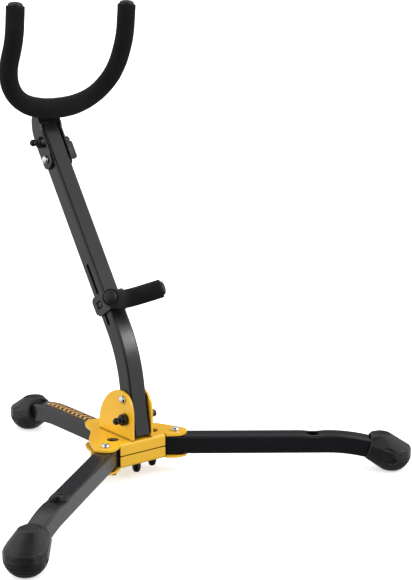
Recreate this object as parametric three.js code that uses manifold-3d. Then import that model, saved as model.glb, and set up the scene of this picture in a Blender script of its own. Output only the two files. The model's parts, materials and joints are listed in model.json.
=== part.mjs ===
// Folding saxophone stand: a yellow steel hub on three black legs, a curved square upright,
// a foam padded yoke on a hinged bracket, and a small foam rest that slides on the upright.
// Units are millimetres, +Z up. The player's side is -Y and the single back leg points along +Y.

import * as THREE from 'three';
import { ConvexGeometry } from 'three/addons/geometries/ConvexGeometry.js';
import { mergeVertices } from 'three/addons/utils/BufferGeometryUtils.js';
import Module from 'manifold-3d';

const wasm = await Module();
wasm.setup();

// ---- Driving dimensions ----

const RAD = Math.PI / 180;
const GAP = 0.3;

const TUBE = 20;
const TUBE_WALL = 1.5;
const TUBE_CORNER = 3;

const LEG_TOP_Z = 40.5;
const LEG_Z = LEG_TOP_Z - TUBE / 2;
const LEG_ANGLE = 37.3 * RAD;
const PIVOT_RADIUS = 54.7;
const LEG_INNER_END = 30;
const BEND_RADIUS = 170;
const BEND_ANGLE = 14 * RAD;
const BEND_TO_FOOT = 67.3;
const LEG_TAIL = 20;
const FRONT_FOOT_R = 279;
const BACK_FOOT_R = 182;
const FOOT_R = 20;
const TREAD_SCALE = 1.04;
const PAD_LATITUDE = 77 * RAD;
const PLUG_FROM_BEND = 14.7;

const PLATE = 2.5;
const TOP_PLATE_Z = 43.5;
const BOTTOM_PLATE_Z = 17.6;
const SKIRT_Y = -36.9;
const SKIRT_HALF = 28;
const LOBE_R = 12.3;
const LOCK_FROM_PIVOT = 24;

const EAR_INNER = 10.5;
const EAR_OUTER = 12.8;
const UPRIGHT_PIVOT_Y = -20.7;
const UPRIGHT_PIVOT_Z = 83.9;
const UPRIGHT_BELOW = 38.2;
const UPRIGHT_ABOVE = 15;
const UPRIGHT_ARC_R = 137.2;
const LOWER_LEAN = 9.8 * RAD;
const UPPER_LEAN = 34.3 * RAD;
const UPRIGHT_TOP = 230.6;
const SLOT_FROM = 3.5;
const SLOT_TO = 72.5;
const SLOT_HALF = 2.1;

const YOKE_PIVOT = 193.7;
const CHEEK_INNER = 11.6;
const CHEEK_OUTER = 13.4;
const YOKE_ROD_R = 4;
const YOKE_FOAM_R = 9.5;
const YOKE_HALF = 66.6;
const YOKE_BOWL = 65;
const YOKE_ARM = 49.5;
const YOKE_CENTRE_FRONT = 26.5;
const YOKE_CENTRE_ALONG = 239.5;

const REST_ALONG = 27;
const REST_ROD_R = 3.5;
const REST_FOAM_R = 9.5;
const REST_HALF = 31.3;
const REST_MID_FRONT = 28;
const REST_END_FRONT = 49.6;
const REST_MID_ALONG = 19.4;
const REST_END_ALONG = 16.8;
const REST_BEND = 0.45;

// ---- Materials ----

const finish = (color, roughness, metalness) => ({ color, roughness, metalness });
const YELLOW = finish(0xeab42e, 0.38, 0.15);
const BLACK_STEEL = finish(0x2b2a2d, 0.42, 0.35);
const DARK_STEEL = finish(0x55535a, 0.4, 0.5);
const CHROME = finish(0xd8d8dc, 0.12, 1.0);
const FOAM = finish(0x151416, 0.95, 0.0);
const RUBBER = finish(0x2f2f33, 0.7, 0.0);
const PLASTIC = finish(0x161517, 0.3, 0.0);

// ---- Solid helpers ----

// Turns a three.js geometry into a manifold solid, whichever way its faces wind.
function solid(geometry) {
  const plain = geometry.clone();
  plain.deleteAttribute('normal');
  plain.deleteAttribute('uv');
  const merged = mergeVertices(plain, 1e-4);
  const index = merged.index.array;
  const keep = [];
  for (let i = 0; i < index.length; i += 3) {
    const [a, b, c] = [index[i], index[i + 1], index[i + 2]];
    if (a !== b && b !== c && c !== a) {
      keep.push(a, b, c);
    }
  }
  const vertProperties = new Float32Array(merged.attributes.position.array);
  const make = (tris) => new wasm.Manifold(new wasm.Mesh({
    numProp: 3,
    vertProperties,
    triVerts: new Uint32Array(tris),
  }));
  const first = make(keep);
  if (first.volume() > 0) {
    return first;
  }
  for (let i = 0; i < keep.length; i += 3) {
    [keep[i + 1], keep[i + 2]] = [keep[i + 2], keep[i + 1]];
  }
  return make(keep);
}

const join = (...parts) => parts.reduce((a, b) => a.add(b));
const cut = (body, ...tools) => tools.reduce((a, b) => a.subtract(b), body);

function toGeometry(body) {
  const mesh = body.getMesh();
  const points = [];
  for (let i = 0; i < mesh.vertProperties.length; i += mesh.numProp) {
    points.push(mesh.vertProperties[i], mesh.vertProperties[i + 1], mesh.vertProperties[i + 2]);
  }
  const geometry = new THREE.BufferGeometry();
  geometry.setAttribute('position', new THREE.Float32BufferAttribute(points, 3));
  geometry.setIndex(Array.from(mesh.triVerts));
  geometry.computeVertexNormals();
  return geometry;
}

function box(x0, x1, y0, y1, z0, z1) {
  const geometry = new THREE.BoxGeometry(x1 - x0, y1 - y0, z1 - z0);
  geometry.translate((x0 + x1) / 2, (y0 + y1) / 2, (z0 + z1) / 2);
  return solid(geometry);
}

// A body of revolution from [radius, height] pairs, about Z, or about X when axis is 'x'.
function turned(profile, axis = 'z', segments = 18) {
  const points = profile.map(([r, h]) => new THREE.Vector2(Math.max(r, 0), h));
  const geometry = new THREE.LatheGeometry(points, segments);
  if (axis === 'z') {
    geometry.rotateX(Math.PI / 2);
  } else {
    geometry.rotateZ(-Math.PI / 2);
  }
  return solid(geometry);
}

const rod = (r, h0, h1, axis = 'z', segments = 18) => (
  turned([[0, h0], [r, h0], [r, h1], [0, h1]], axis, segments)
);

// Points of a shallow dome that starts at height h with radius r and rises by rise.
function dome(r, h, rise, count = 3) {
  const out = [];
  for (let i = 0; i <= count; i += 1) {
    const a = (i / count) * Math.PI / 2;
    out.push([r * Math.cos(a), h + rise * Math.sin(a)]);
  }
  return out;
}

// A rivet along Z or X with a domed head at each end of a plain shank.
function rivet(shank, head, from, to, rise, axis) {
  const low = dome(head, 0, rise).reverse().map(([r, h]) => [r, from - h]);
  const high = dome(head, to, rise);
  return turned([...low, [shank, from], [shank, to], ...high], axis);
}

function shapeOf(points) {
  return new THREE.Shape(points.map(([x, y]) => new THREE.Vector2(x, y)));
}

// Rounds the corners of a closed outline; each point is [x, y, radius].
function rounded(points) {
  const shape = new THREE.Shape();
  const n = points.length;
  points.forEach((p, i) => {
    const corner = new THREE.Vector2(p[0], p[1]);
    const before = points[(i + n - 1) % n];
    const after = points[(i + 1) % n];
    const toBefore = new THREE.Vector2(before[0], before[1]).sub(corner);
    const toAfter = new THREE.Vector2(after[0], after[1]).sub(corner);
    const reach = Math.min(p[2], toBefore.length() * 0.49, toAfter.length() * 0.49);
    const a = toBefore.setLength(reach).add(corner);
    const b = toAfter.setLength(reach).add(corner);
    if (i === 0) {
      shape.moveTo(a.x, a.y);
    } else {
      shape.lineTo(a.x, a.y);
    }
    shape.quadraticCurveTo(corner.x, corner.y, b.x, b.y);
  });
  shape.closePath();
  return shape;
}

function extrude(shape, depth, curveSegments = 6) {
  return new THREE.ExtrudeGeometry(shape, { depth, bevelEnabled: false, curveSegments });
}

// A flat plate in the XY plane between two heights.
function plateZ(shape, z0, z1, curveSegments) {
  return solid(extrude(shape, z1 - z0, curveSegments).translate(0, 0, z0));
}

// A flat plate in the YZ plane between two X positions; shape x is Y and shape y is Z.
const YZ_FRAME = new THREE.Matrix4().makeBasis(
  new THREE.Vector3(0, 1, 0),
  new THREE.Vector3(0, 0, 1),
  new THREE.Vector3(1, 0, 0),
);

function plateX(shape, x0, x1, curveSegments) {
  return solid(extrude(shape, x1 - x0, curveSegments).applyMatrix4(YZ_FRAME).translate(x0, 0, 0));
}

// ---- Tubes ----

function squareSection(size, corner) {
  const h = size / 2;
  return rounded([[-h, -h, corner], [h, -h, corner], [h, h, corner], [-h, h, corner]]);
}

function sweep(shape, path, curveSegments) {
  return new THREE.ExtrudeGeometry(shape, { extrudePath: path, steps: path.steps, curveSegments });
}

function squareTube(path) {
  const outer = solid(sweep(squareSection(TUBE, TUBE_CORNER), path, 3));
  const h = TUBE / 2 - TUBE_WALL;
  const inner = solid(sweep(shapeOf([[-h, -h], [h, -h], [h, h], [-h, h]]), longer(path, 2), 1));
  return cut(outer, inner);
}

// A path with one ring of the section at each listed point, square to the bend there.
class PointPath extends THREE.Curve {
  constructor(points) {
    super();
    this.points = points;
    this.steps = points.length - 1;
  }

  getPointAt(u) {
    return this.points[Math.round(u * this.steps)].clone();
  }

  getTangentAt(u) {
    const i = Math.round(u * this.steps);
    const here = this.points[i];
    const tangent = new THREE.Vector3();
    if (i > 0) {
      tangent.add(here.clone().sub(this.points[i - 1]).normalize());
    }
    if (i < this.steps) {
      tangent.add(this.points[i + 1].clone().sub(here).normalize());
    }
    return tangent.normalize();
  }

  getSpacedPoints() {
    return this.points.map((p) => p.clone());
  }
}

function longer(path, by) {
  const points = path.points.map((p) => p.clone());
  const last = points.length - 1;
  points[0].addScaledVector(path.getTangentAt(0), -by);
  points[last].addScaledVector(path.getTangentAt(1), by);
  return new PointPath(points);
}

// Straight, arc, straight; dir and side span the plane of the bend.
function bentPath(start, dir, side, first, radius, angle, second) {
  const at = (along, across) => start.clone().addScaledVector(dir, along).addScaledVector(side, across);
  const turns = Math.max(4, Math.round(angle / (3.5 * RAD)));
  const points = [at(0, 0)];
  for (let i = 0; i <= turns; i += 1) {
    const a = (angle * i) / turns;
    points.push(at(first + radius * Math.sin(a), radius * (1 - Math.cos(a))));
  }
  const endAlong = first + radius * Math.sin(angle) + second * Math.cos(angle);
  const endAcross = radius * (1 - Math.cos(angle)) + second * Math.sin(angle);
  points.push(at(endAlong, endAcross));
  return new PointPath(points);
}

// ---- Legs, in a frame whose X runs outward along the leg and whose Z is the stand's own ----

const OUT = new THREE.Vector3(1, 0, 0);
const DOWN = new THREE.Vector3(0, 0, -1);

function legPath(innerX, bendX, tail = LEG_TAIL) {
  const start = new THREE.Vector3(innerX, 0, LEG_Z);
  return bentPath(start, OUT, DOWN, bendX - innerX, BEND_RADIUS, BEND_ANGLE, tail);
}

// Leg tube with one round hole through both walls for each [x, radius], and top-only holes.
function legTube(innerX, bendX, throughHoles, topHoles, bottomHoles) {
  let body = squareTube(legPath(innerX, bendX));
  for (const [x, r] of throughHoles) {
    body = cut(body, rod(r, LEG_Z - 12, LEG_Z + 12).translate([x, 0, 0]));
  }
  for (const [x, r] of topHoles) {
    body = cut(body, rod(r, LEG_Z, LEG_Z + 12).translate([x, 0, 0]));
  }
  for (const [x, r] of bottomHoles) {
    body = cut(body, rod(r, LEG_Z - 12, LEG_Z).translate([x, 0, 0]));
  }
  return body;
}

// Faceted rubber boot: flat cut faces above, a round ball below, and a wide mouth for the tube.
function footSolid(bendX) {
  const centreX = bendX + BEND_TO_FOOT;
  const arcEnd = bendX + BEND_RADIUS * Math.sin(BEND_ANGLE);
  const arcDrop = BEND_RADIUS * (1 - Math.cos(BEND_ANGLE));
  const along = new THREE.Vector3(Math.cos(BEND_ANGLE), 0, -Math.sin(BEND_ANGLE));
  const mouth = new THREE.Vector3(arcEnd + 1.5, 0, LEG_Z - arcDrop + 1.2);
  const across = new THREE.Vector3(0, 1, 0);
  const upward = new THREE.Vector3().crossVectors(along, across).negate();
  if (upward.z < 0) {
    upward.negate();
  }
  const points = [];
  const ring = (distance, wide, tall, count, turn) => {
    for (let i = 0; i < count; i += 1) {
      const a = ((i + turn) / count) * Math.PI * 2;
      points.push(mouth.clone()
        .addScaledVector(along, distance)
        .addScaledVector(across, wide * Math.cos(a))
        .addScaledVector(upward, tall * Math.sin(a)));
    }
  };
  ring(0, 15.6, 13.9, 12, 0.5);
  ring(9, 17, 15.2, 8, 0.5);
  const ballZ = FOOT_R * Math.sin(PAD_LATITUDE);
  const ball = (lat, count, turn, scale = 1) => {
    const z = ballZ + FOOT_R * scale * Math.sin(lat * RAD);
    const r = FOOT_R * scale * Math.cos(lat * RAD);
    for (let i = 0; i < count; i += 1) {
      const a = ((i + turn) / count) * Math.PI * 2;
      points.push(new THREE.Vector3(centreX + r * Math.cos(a), r * Math.sin(a), z));
    }
  };
  ball(-PAD_LATITUDE / RAD, 12, 0);
  for (const lat of [-60, -45, -30, -14]) {
    ball(lat, 18, 0, TREAD_SCALE);
  }
  ball(14.5, 12, 0.5, 1.05);
  for (let i = 0; i <= 6; i += 1) {
    const a = (i / 6 - 0.5) * Math.PI;
    points.push(new THREE.Vector3(centreX - 12 + 10 * Math.cos(a), 10.5 * Math.sin(a), 39.2));
  }
  const skin = solid(new ConvexGeometry(points));
  const grooveAt = (z, depth) => {
    const r = Math.sqrt((FOOT_R * TREAD_SCALE) ** 2 - (ballZ - z) ** 2);
    const ringCut = cut(rod(r + 4, -0.5, 0.5, 'z'), rod(r - depth, -1, 1, 'z'));
    return ringCut.translate([centreX, 0, z]).intersect(
      box(centreX + 2, centreX + 40, -40, 40, 0, 40),
    );
  };
  const start = new THREE.Vector3(bendX - 20, 0, LEG_Z);
  const pocketPath = bentPath(start, OUT, DOWN, 20, BEND_RADIUS, BEND_ANGLE, LEG_TAIL + GAP);
  const pocket = solid(sweep(squareSection(TUBE + 2 * GAP, TUBE_CORNER + GAP), pocketPath, 2));
  const recess = rod(12.4, -8, 3.5).rotate([0, 90 + BEND_ANGLE / RAD, 0])
    .translate([mouth.x, mouth.y, mouth.z]);
  return cut(skin, pocket, recess, grooveAt(5, 0.9), grooveAt(8.5, 0.9), grooveAt(12, 0.9));
}

// ---- Hub plates ----

const pivotX = PIVOT_RADIUS * Math.cos(LEG_ANGLE);
const pivotY = -PIVOT_RADIUS * Math.sin(LEG_ANGLE);
const lockX = (PIVOT_RADIUS - LOCK_FROM_PIVOT) * Math.cos(LEG_ANGLE);
const lockY = -(PIVOT_RADIUS - LOCK_FROM_PIVOT) * Math.sin(LEG_ANGLE);
const CLEVIS_RIVET_Y = 10;
const BACK_RIVET_Y = 31;
const BUMPER_Y = -25;

// Plan of the hub: a lobe over each front pivot and a wider lobe over the back leg.
function hubPlan() {
  const lobe = [];
  for (let degrees = -118; degrees <= 22; degrees += 10) {
    const a = (degrees * Math.PI) / 180;
    lobe.push([pivotX + LOBE_R * Math.cos(a), pivotY + LOBE_R * Math.sin(a), 0]);
  }
  const right = [
    [SKIRT_HALF, SKIRT_Y + 1, 0],
    [SKIRT_HALF + 1.2, SKIRT_Y - 1.9, 2],
    ...lobe,
    [44, -3, 10],
    [33, 9.5, 9],
    [22.5, 24, 8],
    [20.5, 36, 9],
    [14, 49, 10],
  ];
  const left = right.map(([x, y, r]) => [-x, y, r]).reverse();
  return rounded([...right, ...left]);
}

function hubPlate(z0, z1, skirtZ0, skirtZ1) {
  const plan = plateZ(hubPlan(), z0, z1);
  const strip = box(-SKIRT_HALF, SKIRT_HALF, SKIRT_Y, SKIRT_Y + PLATE, skirtZ0, skirtZ1);
  const tie = box(-SKIRT_HALF, SKIRT_HALF, SKIRT_Y, SKIRT_Y + 4, z0, z1);
  return join(plan, strip, tie);
}

const SEAM_Z = (TOP_PLATE_Z + BOTTOM_PLATE_Z) / 2;
const rivetSpots = [[pivotX, pivotY], [-pivotX, pivotY], [0, BACK_RIVET_Y], [0, CLEVIS_RIVET_Y]];
const RIVET_HOLE = 3.8;
const RIVET_SHANK = 3.5;

let topPlate = hubPlate(TOP_PLATE_Z - PLATE, TOP_PLATE_Z, SEAM_Z + 0.55, TOP_PLATE_Z);
let bottomPlate = hubPlate(BOTTOM_PLATE_Z, BOTTOM_PLATE_Z + PLATE, BOTTOM_PLATE_Z, SEAM_Z - 0.55);
for (const [x, y] of rivetSpots) {
  topPlate = cut(topPlate, rod(RIVET_HOLE, 10, 60).translate([x, y, 0]));
  bottomPlate = cut(bottomPlate, rod(RIVET_HOLE, 10, 60).translate([x, y, 0]));
}
for (const side of [-1, 1]) {
  topPlate = cut(topPlate, rod(6.2, 10, 60).translate([side * lockX, lockY, 0]));
  bottomPlate = cut(bottomPlate, rod(2.9, 10, 60).translate([side * lockX, lockY, 0]));
}
bottomPlate = cut(bottomPlate, rod(2.9, 10, 60).translate([0, BUMPER_Y, 0]));

// ---- Clevis: two round-topped ears joined by a web behind the upright's foot ----

const CLEVIS_Z = TOP_PLATE_Z + GAP;
const earShape = () => {
  const shape = new THREE.Shape();
  shape.moveTo(-36.8, CLEVIS_Z);
  shape.lineTo(22.6, CLEVIS_Z);
  shape.lineTo(22.6, 52);
  shape.bezierCurveTo(22.6, 70, 4, 92.4, -16.5, 92.4);
  shape.bezierCurveTo(-29, 92.4, -37.5, 84, -36.8, 66);
  shape.closePath();
  return shape;
};
const BASE_PIN_Y = -24.5;
const BASE_PIN_Z = 64;
const PIN_HOLE = 2.7;
const clevisEar = (x0, x1) => cut(
  plateX(earShape(), x0, x1, 12),
  rod(RIVET_HOLE, -30, 30, 'x').translate([0, UPRIGHT_PIVOT_Y, UPRIGHT_PIVOT_Z]),
  rod(PIN_HOLE, -30, 30, 'x').translate([0, BASE_PIN_Y, BASE_PIN_Z]),
);
const clevis = cut(
  join(
    clevisEar(-EAR_OUTER, -EAR_INNER),
    clevisEar(EAR_INNER, EAR_OUTER),
    box(-EAR_OUTER, EAR_OUTER, -4, 22.6, CLEVIS_Z, CLEVIS_Z + 2.3),
  ),
  rod(RIVET_HOLE, 10, 60).translate([0, CLEVIS_RIVET_Y, 0]),
);

// ---- Upright ----

const pivot = new THREE.Vector3(0, UPRIGHT_PIVOT_Y, UPRIGHT_PIVOT_Z);
const lowerDir = new THREE.Vector3(0, Math.sin(LOWER_LEAN), Math.cos(LOWER_LEAN));
const lowerBack = new THREE.Vector3(0, Math.cos(LOWER_LEAN), -Math.sin(LOWER_LEAN));
const bendStart = pivot.clone().addScaledVector(lowerDir, UPRIGHT_ABOVE);
const uprightTurn = UPPER_LEAN - LOWER_LEAN;
const bendEnd = bendStart.clone()
  .addScaledVector(lowerDir, UPRIGHT_ARC_R * Math.sin(uprightTurn))
  .addScaledVector(lowerBack, UPRIGHT_ARC_R * (1 - Math.cos(uprightTurn)));

const uprightFoot = pivot.clone().addScaledVector(lowerDir, -UPRIGHT_BELOW);
const uprightPath = bentPath(
  uprightFoot,
  lowerDir,
  lowerBack,
  UPRIGHT_BELOW + UPRIGHT_ABOVE,
  UPRIGHT_ARC_R,
  uprightTurn,
  UPRIGHT_TOP,
);

// The frame of the upper straight: Z runs up the tube, Y to its back, origin at the bend's end.
const upperFrame = (body) => body
  .rotate([-UPPER_LEAN / RAD, 0, 0])
  .translate([bendEnd.x, bendEnd.y, bendEnd.z]);

const slotTool = join(
  box(-14, 14, -SLOT_HALF, SLOT_HALF, SLOT_FROM + SLOT_HALF, SLOT_TO - SLOT_HALF),
  rod(SLOT_HALF, -14, 14, 'x', 16).translate([0, 0, SLOT_FROM + SLOT_HALF]),
  rod(SLOT_HALF, -14, 14, 'x', 16).translate([0, 0, SLOT_TO - SLOT_HALF]),
);
const YOKE_PIN_FRONT = 5;
const YOKE_PIN_ALONG = 212;
const upright = cut(
  squareTube(uprightPath),
  rod(RIVET_HOLE, -14, 14, 'x').translate([0, UPRIGHT_PIVOT_Y, UPRIGHT_PIVOT_Z]),
  rod(PIN_HOLE, -14, 0, 'x').translate([0, BASE_PIN_Y, BASE_PIN_Z]),
  upperFrame(slotTool),
  upperFrame(rod(3.3, -14, 14, 'x').translate([0, 0, YOKE_PIVOT])),
  upperFrame(rod(PIN_HOLE, -14, 0, 'x').translate([0, -YOKE_PIN_FRONT, YOKE_PIN_ALONG])),
);

// ---- Pull pins: a fixed round housing, a ball-ended plunger, and a plain end on the far side ----

function pinHousing() {
  const outside = [[0, 0], [5.6, 0], [6.1, 1.2], [6.1, 3.6], ...dome(6.1, 3.6, 4.4, 4)];
  return cut(turned(outside, 'x'), rod(2.5, -1, 12, 'x')).mirror([1, 0, 0]);
}

// The plunger's tip sits in the plate's hole; its ball is outside the housing.
function pullPin(platePast) {
  const ball = [];
  for (let i = 0; i <= 8; i += 1) {
    const a = (-60 + (150 * i) / 8) * RAD;
    ball.push([3.7 * Math.cos(a), 10.9 + 3.7 * Math.sin(a)]);
  }
  return turned([[0, -platePast], [2.2, -platePast], [2.2, 7.6], ...ball], 'x').mirror([1, 0, 0]);
}

const pinEnd = (reach) => turned(
  [[0, -1.8], [2.3, -1.8], [2.3, GAP], [3.9, GAP], [3.9, reach - 3], ...dome(3.9, reach - 3, 3)],
  'x',
);

// ---- Yoke bracket, in the upper frame: Y is the back of the tube, Z runs up it ----

const cheekOutline = () => rounded([
  [-7, 183.8, 7], [7.6, 183.8, 7],
  [7.8, 200, 3], [7.8, 216, 5], [6.4, 230, 6], [0, 241.5, 5],
  [-6, 244, 3], [-12.1, 244, 1.2], [-12.1, 229, 2], [-10, 224, 3], [-9.6, 200, 4],
]);
const cheek = (x0, x1) => plateX(cheekOutline(), x0, x1, 6);
const bracketBody = cut(
  join(
    cheek(-CHEEK_OUTER, -CHEEK_INNER),
    cheek(CHEEK_INNER, CHEEK_OUTER),
    box(-CHEEK_OUTER, CHEEK_OUTER, -12.1, -10.3, 231, 243.5),
    box(-CHEEK_OUTER, CHEEK_OUTER, -1.5, 0.3, 232.6, 240),
    box(CHEEK_INNER, CHEEK_OUTER + 6, -9.4, -7.6, 188, 208.5),
  ),
  rod(3.3, -30, 30, 'x').translate([0, 0, YOKE_PIVOT]),
  rod(PIN_HOLE, -30, 30, 'x').translate([0, -YOKE_PIN_FRONT, YOKE_PIN_ALONG]),
  rod(2.8, -8, 8).rotate([90, 0, 0]).translate([0, -11, YOKE_CENTRE_ALONG]),
);

const spacer = cut(
  rod(10.8, TUBE / 2 + GAP, CHEEK_INNER - GAP, 'x'),
  rod(3.3, 0, 20, 'x'),
).translate([0, 0, YOKE_PIVOT]);
const yokeRivet = rivet(3, 4.7, -CHEEK_OUTER - GAP, CHEEK_OUTER + GAP, 3.4, 'x')
  .translate([0, 0, YOKE_PIVOT]);
const yokeBolt = turned([
  [0, 0], [4, 0], [4, 2.3], [2.5, 2.3], [2.5, 14.3], [0, 14.3],
]).rotate([90, 0, 0]).translate([0, -7.7, YOKE_CENTRE_ALONG]);

// ---- Yoke rod and foam, in the stand's frame ----

const upperPoint = (x, front, along) => new THREE.Vector3(x, -front, along)
  .applyAxisAngle(new THREE.Vector3(1, 0, 0), -UPPER_LEAN)
  .add(bendEnd);
const yokeCentre = upperPoint(0, YOKE_CENTRE_FRONT, YOKE_CENTRE_ALONG);

// One arm from the middle of the bowl to its tip: a squarish U that leans to the front
// and stands nearly upright near its tips.
function yokeArm(count) {
  const flat = [];
  for (let i = 0; i <= 60; i += 1) {
    const a = (i / 60) * Math.PI / 2;
    flat.push([YOKE_HALF * Math.sin(a) ** 0.86, YOKE_BOWL * (1 - Math.cos(a) ** 0.86)]);
  }
  flat.push([YOKE_HALF, YOKE_BOWL + YOKE_ARM * 0.5], [YOKE_HALF, YOKE_BOWL + YOKE_ARM]);
  const outline = new THREE.CatmullRomCurve3(
    flat.map(([x, s]) => new THREE.Vector3(x, s, 0)),
    false,
    'centripetal',
  );
  const even = outline.getSpacedPoints(count);
  const arm = [];
  let y = 0;
  let z = 0;
  even.forEach((p, i) => {
    if (i > 0) {
      const rise = p.y - even[i - 1].y;
      const middle = (p.y + even[i - 1].y) / 2;
      const ease = THREE.MathUtils.smoothstep(middle, 62, 100);
      const lean = THREE.MathUtils.lerp(25, 5, ease) * RAD;
      y -= rise * Math.sin(lean);
      z += rise * Math.cos(lean);
    }
    arm.push(new THREE.Vector3(p.x, yokeCentre.y + y, yokeCentre.z + z));
  });
  return arm;
}

const rightArm = yokeArm(17);
const leftArm = rightArm.slice(1).reverse().map((p) => new THREE.Vector3(-p.x, p.y, p.z));
const yokePath = new PointPath([...leftArm, ...rightArm]);

function roundBar(path, radius, segments) {
  const section = shapeOf(Array.from({ length: segments }, (_, i) => {
    const a = (i / segments) * Math.PI * 2;
    return [radius * Math.cos(a), radius * Math.sin(a)];
  }));
  return solid(sweep(section, path, 1));
}

const yokeRod = roundBar(yokePath, YOKE_ROD_R, 6);
const yokeFoam = cut(
  roundBar(yokePath, YOKE_FOAM_R, 14),
  roundBar(longer(yokePath, 2), YOKE_ROD_R + GAP, 6),
  upperFrame(rod(2.9, 0, 14).rotate([90, 0, 0]).translate([0, -12.5, YOKE_CENTRE_ALONG])),
);

// A rounded cap that closes the end of a foam sleeve and points along a direction.
function endCap(radius, rise, at, direction) {
  const body = toGeometry(turned([[0, 0], [radius - 0.4, 0], [radius, 0.5], ...dome(radius, 1.2, rise, 5)]));
  const turn = new THREE.Quaternion().setFromUnitVectors(
    new THREE.Vector3(0, 0, 1),
    direction.clone().normalize(),
  );
  body.applyQuaternion(turn);
  body.translate(at.x, at.y, at.z);
  return solid(body);
}

const armEnd = rightArm[rightArm.length - 1];
const armBefore = rightArm[rightArm.length - 2];
const armDir = armEnd.clone().sub(armBefore).normalize();
const armTop = armEnd.clone().addScaledVector(armDir, GAP);
const yokeCap = (side) => endCap(
  YOKE_FOAM_R - 0.2,
  3,
  new THREE.Vector3(side * armTop.x, armTop.y, armTop.z),
  new THREE.Vector3(side * armDir.x, armDir.y, armDir.z),
);

// ---- Sliding rest, in the upper frame unless it follows the rest's curve ----

const clampOutline = () => rounded([
  [11.5, 21, 1.5], [6, 16, 1.5], [-15.5, 16, 1.5],
  [-15.5, 32, 3], [-11, 37.5, 2], [8, 37.5, 2], [11.5, 34.5, 1.5],
]);
const clampSide = (x0, x1) => plateX(clampOutline(), x0, x1, 4);
const clampTab = (x0, x1) => cut(
  clampSide(x0, x1),
  box(-30, 30, -3.9, 5, REST_ALONG - 3.9, REST_ALONG + 3.9),
);
const restClamp = join(
  clampTab(-12.6, -10.4),
  cut(clampSide(10.4, 12.6), rod(2.1, 0, 30, 'x').translate([0, 0, REST_ALONG])),
  box(-12.6, 12.6, -12.8, -10.6, 16.5, 36),
  rod(4, 0, 24 - 12, 'z').rotate([90, 0, 0]).translate([0, -12.2, REST_MID_ALONG]),
);
const restPin = turned([
  [0, -12.4], [2.6, -12.4], [3.1, -11.8], [3.1, -10.3], [1.7, -10.3],
  [1.7, 12.9], [3.4, 12.9], ...dome(3.4, 13.6, 2.2),
], 'x').translate([0, 0, REST_ALONG]);

const restPoints = [];
for (let i = 0; i <= 12; i += 1) {
  const t = -1 + i / 6;
  const bend = (Math.hypot(t, REST_BEND) - REST_BEND) / (Math.hypot(1, REST_BEND) - REST_BEND);
  const front = REST_MID_FRONT + (REST_END_FRONT - REST_MID_FRONT) * bend;
  const along = REST_MID_ALONG + (REST_END_ALONG - REST_MID_ALONG) * bend;
  restPoints.push(upperPoint(REST_HALF * t, front, along));
}
const restPath = new PointPath(restPoints);
const restRod = roundBar(restPath, REST_ROD_R, 8);
const restFoam = cut(
  roundBar(restPath, REST_FOAM_R, 16),
  roundBar(longer(restPath, 2), REST_ROD_R + GAP, 8),
  upperFrame(rod(4.4, -1, 12).rotate([90, 0, 0]).translate([0, -14, REST_MID_ALONG])),
);
const restEnd = restPoints[restPoints.length - 1];
const restDir = restEnd.clone().sub(restPoints[restPoints.length - 2]).normalize();
const restTop = restEnd.clone().addScaledVector(restDir, GAP);
const restCap = (side) => endCap(
  7.4,
  2.4,
  new THREE.Vector3(side * restTop.x, restTop.y, restTop.z),
  new THREE.Vector3(side * restDir.x, restDir.y, restDir.z),
);

// ---- Hub hardware ----

const uprightRivet = rivet(RIVET_SHANK, 4.5, -EAR_OUTER - GAP, EAR_OUTER + GAP, 3.8, 'x')
  .translate([0, UPRIGHT_PIVOT_Y, UPRIGHT_PIVOT_Z]);
const legRivet = rivet(RIVET_SHANK, 4.6, BOTTOM_PLATE_Z - GAP, TOP_PLATE_Z + GAP, 3.7, 'z');
const clevisRivet = rivet(RIVET_SHANK, 5, BOTTOM_PLATE_Z - GAP, CLEVIS_Z + 2.3 + GAP, 2, 'z');
const lockKnob = turned([
  ...dome(3.7, 0, 2.6, 4).reverse().map(([r, h]) => [r, 7.8 - h]),
  [4.5, 9.5], [4.5, BOTTOM_PLATE_Z - GAP - 0.8], [4.1, BOTTOM_PLATE_Z - GAP],
  [2.6, BOTTOM_PLATE_Z - GAP], [2.6, BOTTOM_PLATE_Z + PLATE - 0.1], [0, BOTTOM_PLATE_Z + PLATE - 0.1],
]);

// ---- Leg parts ----

const frontBendX = FRONT_FOOT_R - BEND_TO_FOOT - PIVOT_RADIUS;
const plugX = frontBendX - PLUG_FROM_BEND;
const backBendX = BACK_FOOT_R - BEND_TO_FOOT;
const leftLeg = legTube(-LEG_INNER_END, frontBendX, [[0, RIVET_HOLE]], [[plugX, 5.2]], [[-LOCK_FROM_PIVOT, 3.4]]);
const rightLeg = legTube(-LEG_INNER_END, frontBendX, [[0, RIVET_HOLE]], [[plugX, 5.2]], [[-LOCK_FROM_PIVOT, 3.4]]);
const backLeg = legTube(
  SKIRT_Y + PLATE + 1,
  backBendX,
  [[CLEVIS_RIVET_Y, RIVET_HOLE], [BACK_RIVET_Y, RIVET_HOLE]],
  [],
  [],
);
const plug = turned([
  [0, LEG_TOP_Z - 5], [4.6, LEG_TOP_Z - 5], [4.9, LEG_TOP_Z - 4], [4.9, LEG_TOP_Z + GAP],
  [8, LEG_TOP_Z + GAP], [8, LEG_TOP_Z + 1.2], [6.9, LEG_TOP_Z + 1.5], [6.9, LEG_TOP_Z + 2.2], ...dome(6, LEG_TOP_Z + 2.9, 1.5, 4),
]).translate([plugX, 0, 0]);

// ---- Scene ----

const stand = new THREE.Group();
stand.name = 'saxophone_stand';

function add(parent, name, body, look) {
  const material = new THREE.MeshStandardMaterial(look);
  material.name = name;
  const mesh = new THREE.Mesh(toGeometry(body), material);
  mesh.name = name;
  parent.add(mesh);
  return mesh;
}

function frameAt(parent, x, y, z) {
  const group = new THREE.Group();
  group.position.set(x, y, z);
  parent.add(group);
  return group;
}

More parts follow.
